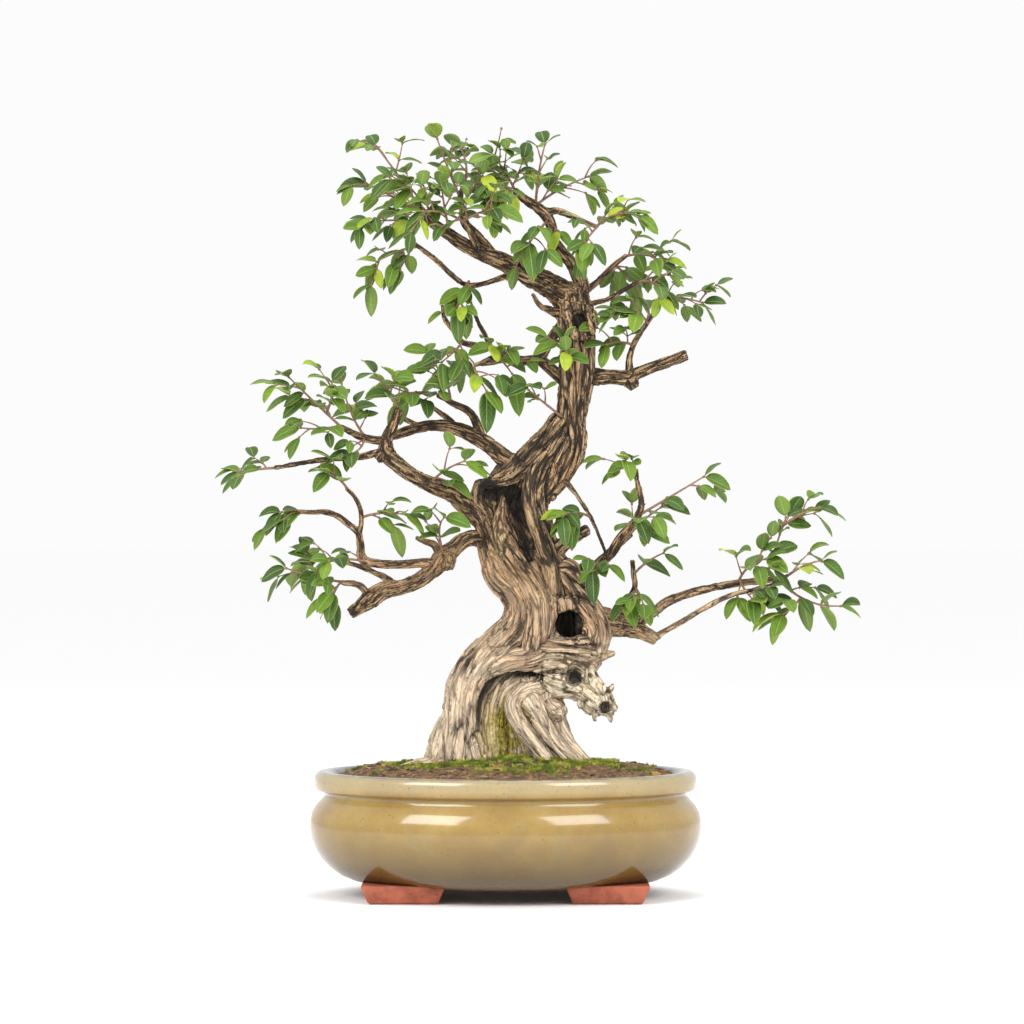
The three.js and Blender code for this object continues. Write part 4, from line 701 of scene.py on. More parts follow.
def soil_look():
    look = Look("potting_soil", Roughness=0.95)
    place = look.place()
    crumb = look.add("TexVoronoi", {"Vector": place, "Scale": 420.0})
    grit = look.noise(place, 260.0, 6.0, 0.7)
    colour = look.ramp(grit, (0.3, rgb(40, 28, 18)), (0.5, rgb(98, 72, 44)), (0.7, rgb(160, 126, 84)))
    moss = look.spread(look.noise(place, 30.0, 4.0), 0.46, 0.56)
    green = look.ramp(look.noise(place, 500.0, 3.0), (0.35, rgb(52, 66, 18)), (0.7, rgb(128, 142, 48)))
    colour = look.mix(look.times(moss, look.attribute("mossy")), colour, green)
    height = look.math("ADD", look.noise(place, 300.0, 6.0), crumb.outputs["Distance"])
    return look.finish(colour, normal=look.bump(height, 0.9, 0.0012))


def moss_look():
    look = Look("cushion_moss", Roughness=0.9)
    greens = (0.0, rgb(58, 72, 12)), (0.45, rgb(108, 126, 26))
    straws = (0.75, rgb(164, 164, 56)), (1.0, rgb(196, 162, 92))
    return look.finish(look.ramp(look.attribute("tone"), *greens, *straws))


def litter_look():
    look = Look("bark_litter", Roughness=0.85)
    browns = (0.0, rgb(50, 34, 22)), (0.5, rgb(118, 90, 62))
    fresh = (0.85, rgb(176, 150, 116)), (1.0, rgb(176, 90, 60))
    grain = look.noise(look.place(), 900.0, 3.0)
    chips = look.ramp(look.attribute("tone"), *browns, *fresh)
    colour = look.mix(look.times(grain, 0.5), chips, rgb(30, 22, 14))
    return look.finish(colour, normal=look.bump(grain, 0.4, 0.0003))


def screen_look():
    look = Look("black_mesh_plastic", Roughness=0.5)
    place = look.place()
    colour = look.ramp(look.noise(place, 300.0, 3.0), (0.3, rgb(22, 24, 22)), (0.7, rgb(44, 46, 42)))
    return look.finish(colour, normal=look.bump(look.noise(place, 900.0, 2.0), 0.2, 0.0002))


PALE_BELOW = 0.165  # the bark is palest below this height, in metres
DARK_ABOVE = 0.255  # and darkest above this one
SLIM_PLATE = 0.42  # the width of a slim plate, as a share of a wide one's


def bark_look(name, plate_width, pale, mid, dark):
    """Fibrous bark in long peeling plates. plate_width is the width of a plate in millimetres"""
    look = Look(name, Roughness=0.85)
    grain, place = look.attribute("grain", "Vector"), look.place()
    wander = look.noise(look.stretched(grain, (0.16, 0.16, 0.03)), 1.0, 3.0)
    push = look.add("CombineXYZ", {"X": look.spread(wander, 0.3, 0.7, -0.8, 0.8)}).outputs[0]

    def cells(width, length, feature, output):
        spot = look.stretched(grain, (1 / width, 1 / width, 1 / length))
        spot = look.add("VectorMath", {0: spot, 1: push}, operation="ADD").outputs[0]
        return look.add("TexVoronoi", {"Vector": spot, "Scale": 1.0}, feature=feature).outputs[output]

    wide, slim = plate_width, plate_width * SLIM_PLATE
    seam = cells(wide, wide * 13, "DISTANCE_TO_EDGE", "Distance")
    split = cells(slim, slim * 20, "DISTANCE_TO_EDGE", "Distance")
    tint = look.add("SeparateColor", {"Color": cells(wide, wide * 13, "F1", "Color")}).outputs[0]
    shade = look.add("SeparateColor", {"Color": cells(slim, slim * 20, "F1", "Color")}).outputs[0]
    fine = look.noise(look.stretched(grain, (1.7, 1.7, 0.12)), 1.0, 5.0, 0.65)
    patch = look.noise(place, 26.0, 4.0, 0.6)
    blotch = look.noise(place, 85.0, 3.0, 0.6)
    colour = look.ramp(fine, (0.28, mid), (0.46, pale), (0.62, rgb(226, 208, 180)), (0.8, rgb(240, 230, 212)))
    tone = look.ramp(tint, (0.0, mid), (0.4, pale), (0.75, rgb(222, 204, 178)), (1.0, rgb(190, 146, 104)))
    colour = look.mix(0.4, colour, tone)
    colour = look.mix(look.spread(shade, 0.6, 1.0, 0.0, 0.4), colour, mid)
    colour = look.mix(look.spread(patch, 0.52, 0.7, 0, 0.45), colour, rgb(192, 138, 88))
    colour = look.mix(look.spread(blotch, 0.5, 0.34, 0, 0.35), colour, rgb(158, 146, 130))
    stops = (0.3, rgb(160, 134, 96)), (0.46, rgb(218, 202, 166)), (0.62, rgb(250, 242, 222))
    bleached = look.ramp(fine, *stops)
    bleached = look.mix(look.spread(blotch, 0.52, 0.64, 0, 0.5), bleached, rgb(172, 164, 96))
    bleached = look.mix(look.spread(patch, 0.55, 0.68, 0, 0.5), bleached, rgb(150, 112, 70))
    colour = look.mix(look.attribute("dead"), colour, bleached)
    height = look.add("SeparateXYZ", {"Vector": place}).outputs["Z"]
    weathered = look.times(look.spread(height, PALE_BELOW, DARK_ABOVE), 0.72)
    colour = look.mix(weathered, colour, look.mix(1.0, colour, rgb(198, 176, 142), "MULTIPLY"))
    colour = look.mix(look.spread(height, 0.2, 0.13, 0, 0.5), colour, rgb(248, 228, 200))
    rough = look.attribute("rough")
    deep = look.mix(look.attribute("dead"), rgb(42, 29, 19), rgb(84, 62, 38))
    dark = look.mix(look.attribute("dead"), dark, rgb(104, 78, 50))
    line = look.spread(seam, 0.0, 0.13, 1, 0)
    hair = look.spread(split, 0.0, 0.12, 1, 0)
    hair = look.times(hair, look.spread(wander, 0.42, 0.6, 1.0, 0.3))
    colour = look.mix(look.times(hair, look.spread(rough, 0.12, 0.9, 0.14, 0.85)), colour, dark)
    colour = look.mix(look.times(line, look.spread(rough, 0.12, 0.9, 0.4, 1.0)), colour, dark)
    # The cracks are darkened to their deep colour; in the dead wood's pits this darkening is painted shade
    colour = look.mix(look.spread(look.attribute("groove"), 0.06, 0.55, 0, 0.93), colour, deep)
    mossy = look.spread(look.noise(place, 110.0, 5.0, 0.7), 0.38, 0.5)
    mossy = look.times(look.attribute("mossy"), mossy)
    stops = (0.3, rgb(84, 76, 16)), (0.48, rgb(150, 134, 36)), (0.68, rgb(206, 182, 78))
    green = look.ramp(look.noise(place, 420.0, 4.0), *stops)
    colour = look.mix(mossy, colour, green)
    # Painted shade: the inside of the hollows is painted near black
    colour = look.mix(look.times(look.attribute("hollow"), 0.94), colour, rgb(26, 19, 14))
    relief = look.math("SUBTRACT", look.times(fine, 0.8), look.times(line, 0.9))
    relief = look.math("SUBTRACT", relief, look.times(hair, 0.5))
    relief = look.math("ADD", relief, look.times(shade, 0.25))
    relief = look.math("ADD", relief, look.times(look.noise(place, 1100.0, 3.0), 0.2))
    return look.finish(colour, normal=look.bump(relief, 1.0, 0.0014))


def twig_look():
    look = Look("young_twig_bark", Roughness=0.7)
    place = look.place()
    stops = (0.3, rgb(92, 62, 50)), (0.5, rgb(136, 100, 80)), (0.7, rgb(120, 84, 82))
    colour = look.ramp(look.noise(place, 260.0, 4.0), *stops)
    colour = look.mix(look.attribute("tone"), colour, rgb(128, 118, 62))
    return look.finish(colour, normal=look.bump(look.noise(place, 900.0, 3.0), 0.4, 0.0003))


def leaf_look():
    look = Look("honeysuckle_leaf", Roughness=0.55, Specular_IOR_Level=0.3)
    uv = look.add("UVMap", uv_map="blade").outputs["UV"]
    parts = look.add("SeparateXYZ", {"Vector": uv})
    along, across = parts.outputs["X"], look.math("ABSOLUTE", look.math("SUBTRACT", parts.outputs["Y"], 0.5))
    rib = look.spread(across, 0.012, 0.045, 1, 0)
    slant = look.math("SUBTRACT", look.times(along, 46.0), look.times(across, 26.0))
    vein = look.times(look.spread(look.math("SINE", slant), 0.82, 1.0), 0.35)
    lines = look.math("MAXIMUM", rib, vein)
    tone = look.attribute("tone")
    place = look.place()
    mottle = look.noise(place, 150.0, 4.0)
    top = look.ramp(
        look.math("ADD", tone, look.spread(mottle, 0.3, 0.7, -0.08, 0.08)),
        (0.0, rgb(36, 62, 20)), (0.3, rgb(60, 90, 26)), (0.62, rgb(90, 120, 30)), (0.85, rgb(122, 146, 34)),
        (1.0, rgb(158, 172, 44)),
    )
    under = look.mix(0.4, top, rgb(132, 154, 82))
    colour = look.mix(look.attribute("under"), top, under)
    colour = look.mix(look.times(lines, 0.5), colour, rgb(160, 178, 104))
    rim = look.spread(across, 0.44, 0.5)
    colour = look.mix(look.times(rim, 0.35), colour, rgb(176, 180, 96))
    spot = look.spread(look.noise(place, 380.0, 2.0), 0.72, 0.76)
    colour = look.mix(look.times(spot, look.attribute("worn")), colour, rgb(96, 66, 34))
    height = look.math("SUBTRACT", look.times(look.noise(place, 800.0, 2.0), 0.3), lines)
    return look.finish(colour, normal=look.bump(height, 0.35, 0.0004))


# Camera, light and floor

CAMERA = {"x": 0.00506, "distance": 3.2, "height": 0.3022, "lens": 142.4}
ROOM_LIGHT = 0.975
SOFTBOXES = {
    "left_softbox": {"place": (-1.15, -1.4, 1.32), "size": (1.1, 1.0), "power": 27},
    "right_softbox": {"place": (1.1, -1.4, 1.32), "size": (1.1, 1.0), "power": 23},
    "top_softbox": {"place": (0.1, 0.3, 2.3), "size": (1.4, 1.4), "power": 16},
}
LIT_PLACE = (POT_CENTRE_X, 0, 0.25)


def grey(share):
    return (share, share, share)


def make_stage():
    bpy.ops.object.camera_add(
        location=(POT_CENTRE_X + CAMERA["x"], -CAMERA["distance"], CAMERA["height"]),
        rotation=(math.radians(90), 0, 0),
    )
    camera = bpy.context.object
    camera.data.lens = CAMERA["lens"]
    camera.data.sensor_width = 36
    bpy.context.scene.camera = camera
    bpy.context.scene.view_settings.view_transform = "Standard"
    world = bpy.data.worlds.new("white_room")
    world.use_nodes = True
    background = world.node_tree.nodes["Background"]
    background.inputs["Color"].default_value = (1, 1, 1, 1)
    background.inputs["Strength"].default_value = ROOM_LIGHT
    bpy.context.scene.world = world
    for name, box in SOFTBOXES.items():
        bpy.ops.object.light_add(type="AREA", location=box["place"])
        light = bpy.context.object
        light.name = name
        light.data.shape = "RECTANGLE"
        light.data.size, light.data.size_y = box["size"]
        light.data.energy = box["power"]
        aim = Vector(LIT_PLACE) - Vector(box["place"])
        light.rotation_euler = aim.to_track_quat("-Z", "Y").to_euler()
    bpy.ops.mesh.primitive_plane_add(size=60, location=(0, 0, -0.0005))
    floor = bpy.context.object
    floor.name = "floor"
    look = Look("pale_floor", Roughness=0.7)
    place = look.place()
    near = look.ramp(look.noise(place, 3.0, 2.0), (0.3, grey(0.93)), (0.7, grey(0.94)))
    reach = look.add("VectorMath", {0: place}, operation="LENGTH").outputs["Value"]
    colour = look.mix(look.spread(reach, 0.5, 6.0), near, grey(0.99))
    floor.data.materials.append(look.finish(colour))


# Pot

# Half of the bowl's section as (radius, height): underside, belly, groove, rolled rim, wall and floor inside
POT_PROFILE = [
    (0, 10), (60, 10), (104, 10),
    (112, 10.6), (122, 13), (132, 17.2), (140, 23.2), (146.5, 30.4), (151, 38), (153.8, 46), (154.8, 54),
    (154.4, 60), (152.8, 66), (149.6, 71.6), (145.8, 75.6), (143.4, 78.2), (142.9, 80), (143.6, 81.4),
    (146.2, 82.2), (149.2, 83.2), (150.5, 85), (150.9, 88), (150.9, 91.6), (150.3, 94.6), (148.8, 96.8),
    (146.4, 98), (142.4, 98.1), (139.4, 97.6), (137, 96), (136, 93),
    (136.6, 84), (137.8, 62), (130, 32), (112, 18), (60, 18), (0, 18),
]


def spin_profile(name, profile, turns):
    """An oval bowl or mound: a profile of (radius, height) drawn by extrusion, then spun round"""
    deselect()
    bpy.ops.mesh.primitive_plane_add(size=1, location=(0, 0, 0))
    piece = bpy.context.object
    bpy.ops.object.mode_set(mode="EDIT")
    bpy.ops.mesh.select_mode(type="VERT")
    bpy.ops.mesh.select_all(action="SELECT")
    bpy.ops.mesh.merge(type="CENTER")
    bpy.ops.transform.translate(value=(profile[0][0] * MM, 0, profile[0][1] * MM))
    for (r0, z0), (r1, z1) in zip(profile, profile[1:]):
        step = ((r1 - r0) * MM, 0, (z1 - z0) * MM)
        bpy.ops.mesh.extrude_region_move(TRANSFORM_OT_translate={"value": step})
    bpy.ops.mesh.select_all(action="SELECT")
    bpy.ops.mesh.spin(steps=turns, angle=2 * math.pi, center=(0, 0, 0), axis=(0, 0, 1))
    bpy.ops.mesh.select_all(action="SELECT")
    bpy.ops.mesh.remove_doubles(threshold=1e-6)
    bpy.ops.mesh.normals_make_consistent(inside=False)
    bpy.ops.object.mode_set(mode="OBJECT")
    piece.scale = (1, POT_DEPTH_SHARE, 1)
    piece.location = (POT_CENTRE_X, 0, 0)
    piece.name = piece.data.name = name
    bpy.ops.object.transform_apply(location=True, rotation=True, scale=True)
    piece.data.shade_smooth()
    return piece


def bell(value, middle, half):
    """1 at the middle, fading out past half on both sides"""
    return np.exp(-(((value - middle) / half) ** 2))


def make_pot():
    bowl = spin_profile("pot_bowl", POT_PROFILE, POT_TURNS)
    for side in (-1, 1):
        deselect()
        bpy.ops.mesh.primitive_cylinder_add(
            vertices=40, radius=DRAIN_HOLE["radius"] * MM, depth=30 * MM,
            location=metres((DRAIN_HOLE["x"] * side, 0, 14)),
        )
        drill = bpy.context.object
        apply_modifier(bowl, "BOOLEAN", object=drill, operation="DIFFERENCE", solver="EXACT")
        bpy.data.objects.remove(drill)
    at = positions(bowl) / MM
    height = at[:, 2]
    radius = np.hypot(at[:, 0] - POT_CENTRE_X / MM, at[:, 1] / POT_DEPTH_SHARE)
    inner_rim = (radius < 141) * np.clip((height - 90) / 4, 0, 1)
    set_attribute(bowl, "rim_edge", np.clip(0.9 * bell(height, 98, 1.0) + 0.8 * inner_rim, 0, 1))
    # Painted shade in the groove under the rim, and a darker band at the foot of the belly
    groove = bell(height, 82.6, 1.2) * (radius > 140)
    set_attribute(bowl, "groove_shade_and_dark_base", 0.8 * bell(height, 11, 3) + 0.7 * groove)
    paint(bowl, "pot_glaze", glaze_look())
    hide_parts("pot")
    settle(bowl)
    feet = join("pot_feet", [make_foot(x, y) for x in (-1, 1) for y in (-1, 1)])
    paint(feet, "pot_glaze", clay_look())
    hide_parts("pot")
    settle(feet)


def make_foot(side_x, side_y):
    """A block that narrows towards the ground"""
    deselect()
    place = metres((side_x * FOOT["x"], side_y * FOOT["y"], FOOT["height"] / 2))
    bpy.ops.mesh.primitive_cube_add(size=1, location=place)
    foot = bpy.context.object
    foot.scale = (FOOT["length"] * MM, FOOT["depth"] * MM, FOOT["height"] * MM)
    bpy.ops.object.transform_apply(location=False, rotation=False, scale=True)
    bpy.ops.object.mode_set(mode="EDIT")
    bpy.ops.mesh.select_all(action="DESELECT")
    bpy.ops.object.mode_set(mode="OBJECT")
    for polygon in foot.data.polygons:
        polygon.select = polygon.normal.z < -0.9
    bpy.ops.object.mode_set(mode="EDIT")
    bpy.ops.mesh.select_mode(type="FACE")
    bpy.ops.transform.resize(value=(FOOT["taper"], FOOT["taper"], 1))
    bpy.ops.mesh.select_all(action="SELECT")
    bpy.ops.mesh.bevel(offset=1.6 * MM, segments=3, affect="EDGES")
    bpy.ops.object.mode_set(mode="OBJECT")
    foot.data.shade_smooth()
    return foot


# Soil with its moss and litter

def waves(x, y, fineness, layer):
    """Random height from -1 to 1. A larger fineness gives smaller waves"""
    return noise.noise(Vector((x * fineness, y * fineness, layer)))


def soil_height(x, y):
    """Height of the soil in millimetres at a place measured from the pot's middle"""
    out = math.hypot(x, y / POT_DEPTH_SHARE)
    flat = SOIL["shoulder"] - 1.5 * max(0, (out - 84) / 34) ** 2
    if out > 118:
        flat = SOIL["shoulder"] - 1.5 - (out - 118) / 17 * 5.5
    sideways, back = (x - SOIL["x"]) / SOIL["half_width"], y / SOIL["half_depth"]
    rise = SOIL["mound"] * math.exp(-(sideways**2) - back**2)
    rough = 1.5 * waves(x, y, 0.05, 3) + 0.8 * waves(x, y, 0.2, 7)
    return flat + rise + rough + 0.5 * waves(x, y, 0.6, 1)


def moss_share(x, y):
    """How mossy the soil is there: most round the roots, least along the rim"""
    out = math.hypot((x - 8) / 105, y / 78)
    return min(1, max(0, 1.15 - out + 0.9 * waves(x, y, 0.035, 11)))


SOIL_TURNS = 144
SOIL_TOP_FROM = 90  # points of the soil above this height belong to its top


def make_soil():
    top = [(radius, 100.0) for radius in range(0, 132, 3)] + [(133, 96), (135.2, 93)]
    profile = [(0, 60), (70, 60), (134, 60), *reversed(top)]
    soil = spin_profile("soil_bed", profile, SOIL_TURNS)
    at = positions(soil)
    mossy = np.zeros(len(at))
    for i, (x, y, z) in enumerate(at):
        if z > SOIL_TOP_FROM * MM:
            x_mm, y_mm = (x - POT_CENTRE_X) / MM, y / MM
            at[i, 2] = soil_height(x_mm, y_mm) * MM
            mossy[i] = moss_share(x_mm, y_mm)
    set_positions(soil, at)
    set_attribute(soil, "mossy", mossy)
    paint(soil, "soil", soil_look())
    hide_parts("soil")
    settle(soil)


def copies(name, pattern_points, pattern_faces, places):
    """One mesh of many copies of a small pattern. A place is (where, size, turn about Z, tilt, tone)"""
    points = np.array(pattern_points, float)
    faces = np.array(pattern_faces, int)
    all_points, all_faces, tones = [], [], []
    for where, size, turn, tilt, tone in places:
        cos, sin = math.cos(turn), math.sin(turn)
        up, over = math.cos(tilt), math.sin(tilt)
        rotate = np.array([[cos, -sin * up, sin * over], [sin, cos * up, -cos * over], [0, over, up]])
        all_faces.append(faces + len(points) * len(all_points))
        all_points.append((points * size) @ rotate.T + np.array(where))
        tones.append(np.full(len(points), tone))
    piece = mesh_piece(name, np.vstack(all_points), np.vstack(all_faces).tolist(), smooth=False)
    set_attribute(piece, "tone", np.concatenate(tones))
    return piece


SOIL_REACH = 131  # moss and litter lie within this radius
MOSS_TUFTS = 5200
LITTER_CHIPS = 900
MOSS_KEY, LITTER_KEY = 50000, 90000


def soil_place(key):
    """A random place on the soil, in millimetres from the pot's middle"""
    turn, out = 2 * math.pi * draw(key), SOIL_REACH * math.sqrt(draw(key + 1))
    return out * math.cos(turn), out * math.sin(turn) * POT_DEPTH_SHARE


def moss_tuft():
    """Nine short pointed leaves that spread from one foot"""
    points, faces = [], []
    for i in range(9):
        turn = 2.4 * i
        lean = 0.25 + 0.5 * draw(900 + i)
        out = np.array([math.cos(turn), math.sin(turn), 0])
        side = np.array([-math.sin(turn), math.cos(turn), 0]) * 0.16
        foot = out * 0.18
        tip = out * (0.18 + lean) + UP * (0.9 + 0.4 * draw(930 + i))
        k = len(points)
        points += [foot + side, foot - side, foot + out * 0.2, tip]
        faces += [(k, k + 2, k + 3), (k + 2, k + 1, k + 3), (k + 1, k, k + 3), (k, k + 1, k + 2)]
    return points, faces


def make_moss():
    places = []
    for i in range(MOSS_TUFTS):
        key = MOSS_KEY + 7 * i
        x, y = soil_place(key)
        if draw(key + 2) > 1.25 * moss_share(x, y) - 0.1:
            continue
        tone = 0.45 + 0.8 * waves(x, y, 0.08, 5) + 0.4 * (draw(key + 3) - 0.5)
        size = (1.4 + 1.7 * draw(key + 4)) * MM
        where = metres((x, y, soil_height(x, y) - 0.3))
        tone = min(1, max(0, tone))
        places.append((where, size, 6.28 * draw(key + 5), 0.5 * (draw(key + 6) - 0.5), tone))
    moss = copies("soil_moss", *moss_tuft(), places)
    paint(moss, "soil", moss_look())
    settle(moss)


def bark_chip():
    """A flat crooked block: four corners below, four above, and triangles between them"""
    foot = [(-1, -0.3, 0), (1, -0.4, 0), (1.2, 0.3, 0), (-0.8, 0.4, 0)]
    top = [(-0.9, -0.2, 0.3), (0.8, -0.3, 0.4), (1, 0.2, 0.3), (-0.7, 0.3, 0.25)]
    faces = [(0, 3, 2), (0, 2, 1), (4, 5, 6), (4, 6, 7)]
    for a, b in ((0, 1), (1, 2), (2, 3), (3, 0)):
        faces += [(a, b, b + 4), (a, b + 4, a + 4)]
    return foot + top, faces


def make_litter():
    places = []
    for i in range(LITTER_CHIPS):
        key = LITTER_KEY + 9 * i
        x, y = soil_place(key)
        size = (0.8 + 2.2 * draw(key + 2) ** 2) * MM
        tone = draw(key + 3) * 0.9 if draw(key + 4) < 0.96 else 1
        where = metres((x, y, soil_height(x, y) + 0.1))
        places.append((where, size, 6.28 * draw(key + 5), 0.7 * (draw(key + 6) - 0.5), tone))
    litter = copies("soil_litter", *bark_chip(), places)
    paint(litter, "soil", litter_look())
    settle(litter)


# Wood

BATCH = 3000  # vertices whose distances are worked out at one time
STRAND_STEP = 61  # moves each strand's bark on by this length, so that no two strands look alike
CRACK = 0.11  # the width of a crack, as a share of a plate's
PLATE_BEND = 0.55  # how far a plate wanders sideways, as a share of its width
HOLLOW_EDGE = 2.5  # walls nearer than this to a carving tube get painted shade
GNARL = 0.8  # how far the dead wood's lumps stand out, as a share of the depth of the cracks


def bent_tubes(name, strands, sides, swell=0.0):
    """Tubes along smooth curves through the strands' points"""
    deselect()
    curve = bpy.data.curves.new(name, "CURVE")
    curve.dimensions = "3D"
    curve.bevel_depth = MM
    curve.bevel_resolution = sides // 2 - 2
    curve.resolution_u = 6
    curve.use_fill_caps = True
    for strand in strands:
        spline = curve.splines.new("BEZIER")
        spline.bezier_points.add(len(strand) - 1)
        for point, (x, y, z, radius) in zip(spline.bezier_points, strand):
            point.co = metres((x, y, z))
            point.radius = radius + swell
            point.handle_left_type = point.handle_right_type = "AUTO"
    piece = bpy.data.objects.new(name, curve)
    bpy.context.scene.collection.objects.link(piece)
    select(piece)
    bpy.ops.object.convert(target="MESH")
    return bpy.context.object


def between(a, b, c, d, t):
    """A share t of the way along a smooth curve from b to c, which a before it and d after it lead"""
    return 0.5 * (2 * b + (c - a) * t + (2 * a - 5 * b + 4 * c - d) * t**2 + (3 * b - a - 3 * c + d) * t**3)


def trace(strand, step=1.5):
    """Points every step millimetres on a strand, with radius, length so far and a frame that doesn't twist"""
    at = np.array(strand, float)
    padded = np.vstack([2 * at[0] - at[1], at, 2 * at[-1] - at[-2]])
    spots = []
    for k in range(len(at) - 1):
        a, b, c, d = padded[k : k + 4]
        count = max(2, int(np.linalg.norm(c[:3] - b[:3]) / step))
        spots += [between(a, b, c, d, t) for t in np.arange(count) / count]
    spots.append(at[-1])
    spots = np.array(spots)
    points = spots[:, :3]
    tangents = np.gradient(points, axis=0)
    tangents /= np.linalg.norm(tangents, axis=1)[:, None]
    across = unit(np.cross(tangents[0], BACK if abs(tangents[0][1]) < 0.9 else UP))
    firsts = []
    for tangent in tangents:
        across = unit(across - tangent * np.dot(across, tangent))
        firsts.append(across)
    firsts = np.array(firsts)
    so_far = np.concatenate([[0], np.cumsum(np.linalg.norm(np.diff(points, axis=0), axis=1))])
    return points, spots[:, 3], so_far, tangents, firsts, np.cross(tangents, firsts)


def lay_grain(at, strands, twist):
    """For each vertex in millimetres: its place on the nearest strand, as (across, across, along)"""
    traced = [trace(strand) for strand in strands]
    points, radii, so_far, tangents, firsts, seconds = (np.concatenate(column) for column in zip(*traced))
    number = np.concatenate([np.full(len(columns[1]), i) for i, columns in enumerate(traced)])
    short_points = points[None].astype(np.float32)
    near = np.zeros(len(at), int)
    for start in range(0, len(at), BATCH):
        batch = at[start : start + BATCH, None].astype(np.float32)
        away = np.linalg.norm(batch - short_points, axis=2)
        near[start : start + BATCH] = (away - radii).argmin(1)
    offset = at - points[near]
    a, b = (offset * firsts[near]).sum(1), (offset * seconds[near]).sum(1)
    along = so_far[near] + (offset * tangents[near]).sum(1)
    cos, sin = np.cos(twist * along), np.sin(twist * along)
    grain = np.stack([a * cos - b * sin, a * sin + b * cos, along + STRAND_STEP * number[near]], 1)
    return grain, radii[near]


def distance_to_tubes(at, strands):
    """Distance of each vertex to the nearest strand's surface, below 0 inside it"""
    traced = [trace(strand, 2.0) for strand in strands]
    points = np.concatenate([columns[0] for columns in traced])
    radii = np.concatenate([columns[1] for columns in traced])
    nearest = np.zeros(len(at))
    for start in range(0, len(at), BATCH):
        away = np.linalg.norm(at[start : start + BATCH, None] - points[None], axis=2)
        nearest[start : start + BATCH] = (away - radii).min(1)
    return nearest


def plates(grain, width, length):
    """Long narrow plates of bark: how near each vertex is to a crack, from 0 to 1, and its plate's tone"""
    crack, plate = np.zeros(len(grain)), np.zeros(len(grain))
    for i, (a, b, along) in enumerate(grain):
        bend = PLATE_BEND * noise.noise(Vector((a / width, b / width, along / length)) * 1.7)
        spots, centres = noise.voronoi(Vector((a / width + bend, b / width - bend, along / length)))
        crack[i] = math.exp(-(((spots[1] - spots[0]) / CRACK) ** 2))
        plate[i] = noise.cell(centres[0] * 7.3)
    return crack, plate


def noise_of(points, scale, shift=0):
    return np.array([noise.noise(Vector(point * scale + shift)) for point in points])


def painted_hollow_shade(at, reach):
    """How much painted shade each vertex gets inside a hollow, from 0 to 1. reach is its distance to the
    carving tubes
    """
    hollow = np.clip(1 - distance_to_tubes(at, WELLS) / 1.5, 0, 1)
    near = reach < HOLLOW_EDGE
    depth = -distance_to_tubes(at[near], ROOTS + TRUNK + DEADWOOD)
    walls = np.clip(HOLLOW_EDGE - reach[near], 0, 1) * np.clip((depth - 1.2) / 4, 0, 1)
    hollow[near] = np.maximum(hollow[near], walls)
    return hollow * np.clip(distance_to_tubes(at, [SPIKE]) - 0.5, 0, 1)


def wood_moss(at):
    """Moss on the roots inside the arch and on all wood just above the soil"""
    inside_arch = bell(at[:, 0], 1, 22) * np.clip((164 - at[:, 2]) / 24, 0, 1) * (at[:, 1] > -10)
    at_soil = np.clip((107 - at[:, 2]) / 5, 0, 1) * 0.8
    return np.clip(inside_arch + at_soil, 0, 1)


def carve_bark(piece, strands, width, deep, twist, hollows):
    """Cuts cracks between plates of bark into a wood mesh and writes the attributes that its look reads"""
    at = (positions(piece) - np.array([POT_CENTRE_X, 0, 0])) / MM
    grain, radii = lay_grain(at, strands, twist)
    coarse, plate = plates(grain, width, width * 9)
    fine, sliver = plates(grain + 31, width * 0.4, width * 5)
    lumps = noise_of(at, 0.06)
    ripple = noise_of(grain, np.array([0.5, 0.5, 0.07]))
    reach = distance_to_tubes(at, hollows)
    rough = np.clip(0.5 + 0.9 * noise_of(at, 0.03, 5) + (at[:, 2] - 205) / 180, 0.12, 1)
    dead = np.clip((2.0 - distance_to_tubes(at, DEADWOOD + SHARDS + [SPIKE])) / 3, 0, 1)
    gnarl = noise_of(at, 0.14) + 0.7 * noise_of(at, 0.33)
    gnarl *= (dead > 0.5) * np.clip(reach - 1.5, 0, 1)
    sink = (coarse + 0.4 * fine) * (0.35 + 0.75 * rough) + 0.42 * (plate - 0.5) + 0.22 * (sliver - 0.5)
    sink += 0.3 * ripple + 0.45 * lumps + GNARL * gnarl - 0.5
    share = np.clip(radii / 9, 0.3, 1)
    move = (sink * share * deep * MM)[:, None]
    set_positions(piece, positions(piece) - positions(piece, "normal") * move)
    # The groove also holds painted shade in the dead wood's pits, where the lumps are sunk deepest
    groove = (0.95 * coarse + 0.35 * fine) * (0.3 + 0.75 * rough) - 0.08 + 1.6 * np.clip(gnarl - 0.2, 0, 1)
    set_attribute(piece, "grain", grain)
    set_attribute(piece, "groove", np.clip(groove, 0, 1))
    set_attribute(piece, "rough", rough)
    # painted shade inside the hollows
    set_attribute(piece, "hollow", painted_hollow_shade(at, reach))
    set_attribute(piece, "dead", dead)
    set_attribute(piece, "mossy", wood_moss(at))


def cut_hollows(piece, hollows):
    for hollow in hollows:
        cutter = bent_tubes("hollow_cutter", [hollow], 16, swell=1.0)
        apply_modifier(piece, "BOOLEAN", object=cutter, operation="DIFFERENCE", solver="EXACT")
        bpy.data.objects.remove(cutter)


def thin_out(piece, most_faces):
    """Joins triangles where the surface is flattest, down to a number of them"""
    count = sum(len(polygon.vertices) - 2 for polygon in piece.data.polygons)
    if count > most_faces:
        apply_modifier(piece, "DECIMATE", ratio=most_faces / count)


def lip_ring(name, lip):
    """A raised ring of bark round an old wound"""
    deselect()
    bpy.ops.mesh.primitive_torus_add(
        location=metres((lip["x"], lip["y"], lip["z"])), rotation=(math.radians(90), 0, 0),
        major_radius=lip["radius"] * MM, minor_radius=lip["lip"] * MM, major_segments=40, minor_segments=12,
    )
    bpy.context.object.name = name
    return bpy.context.object


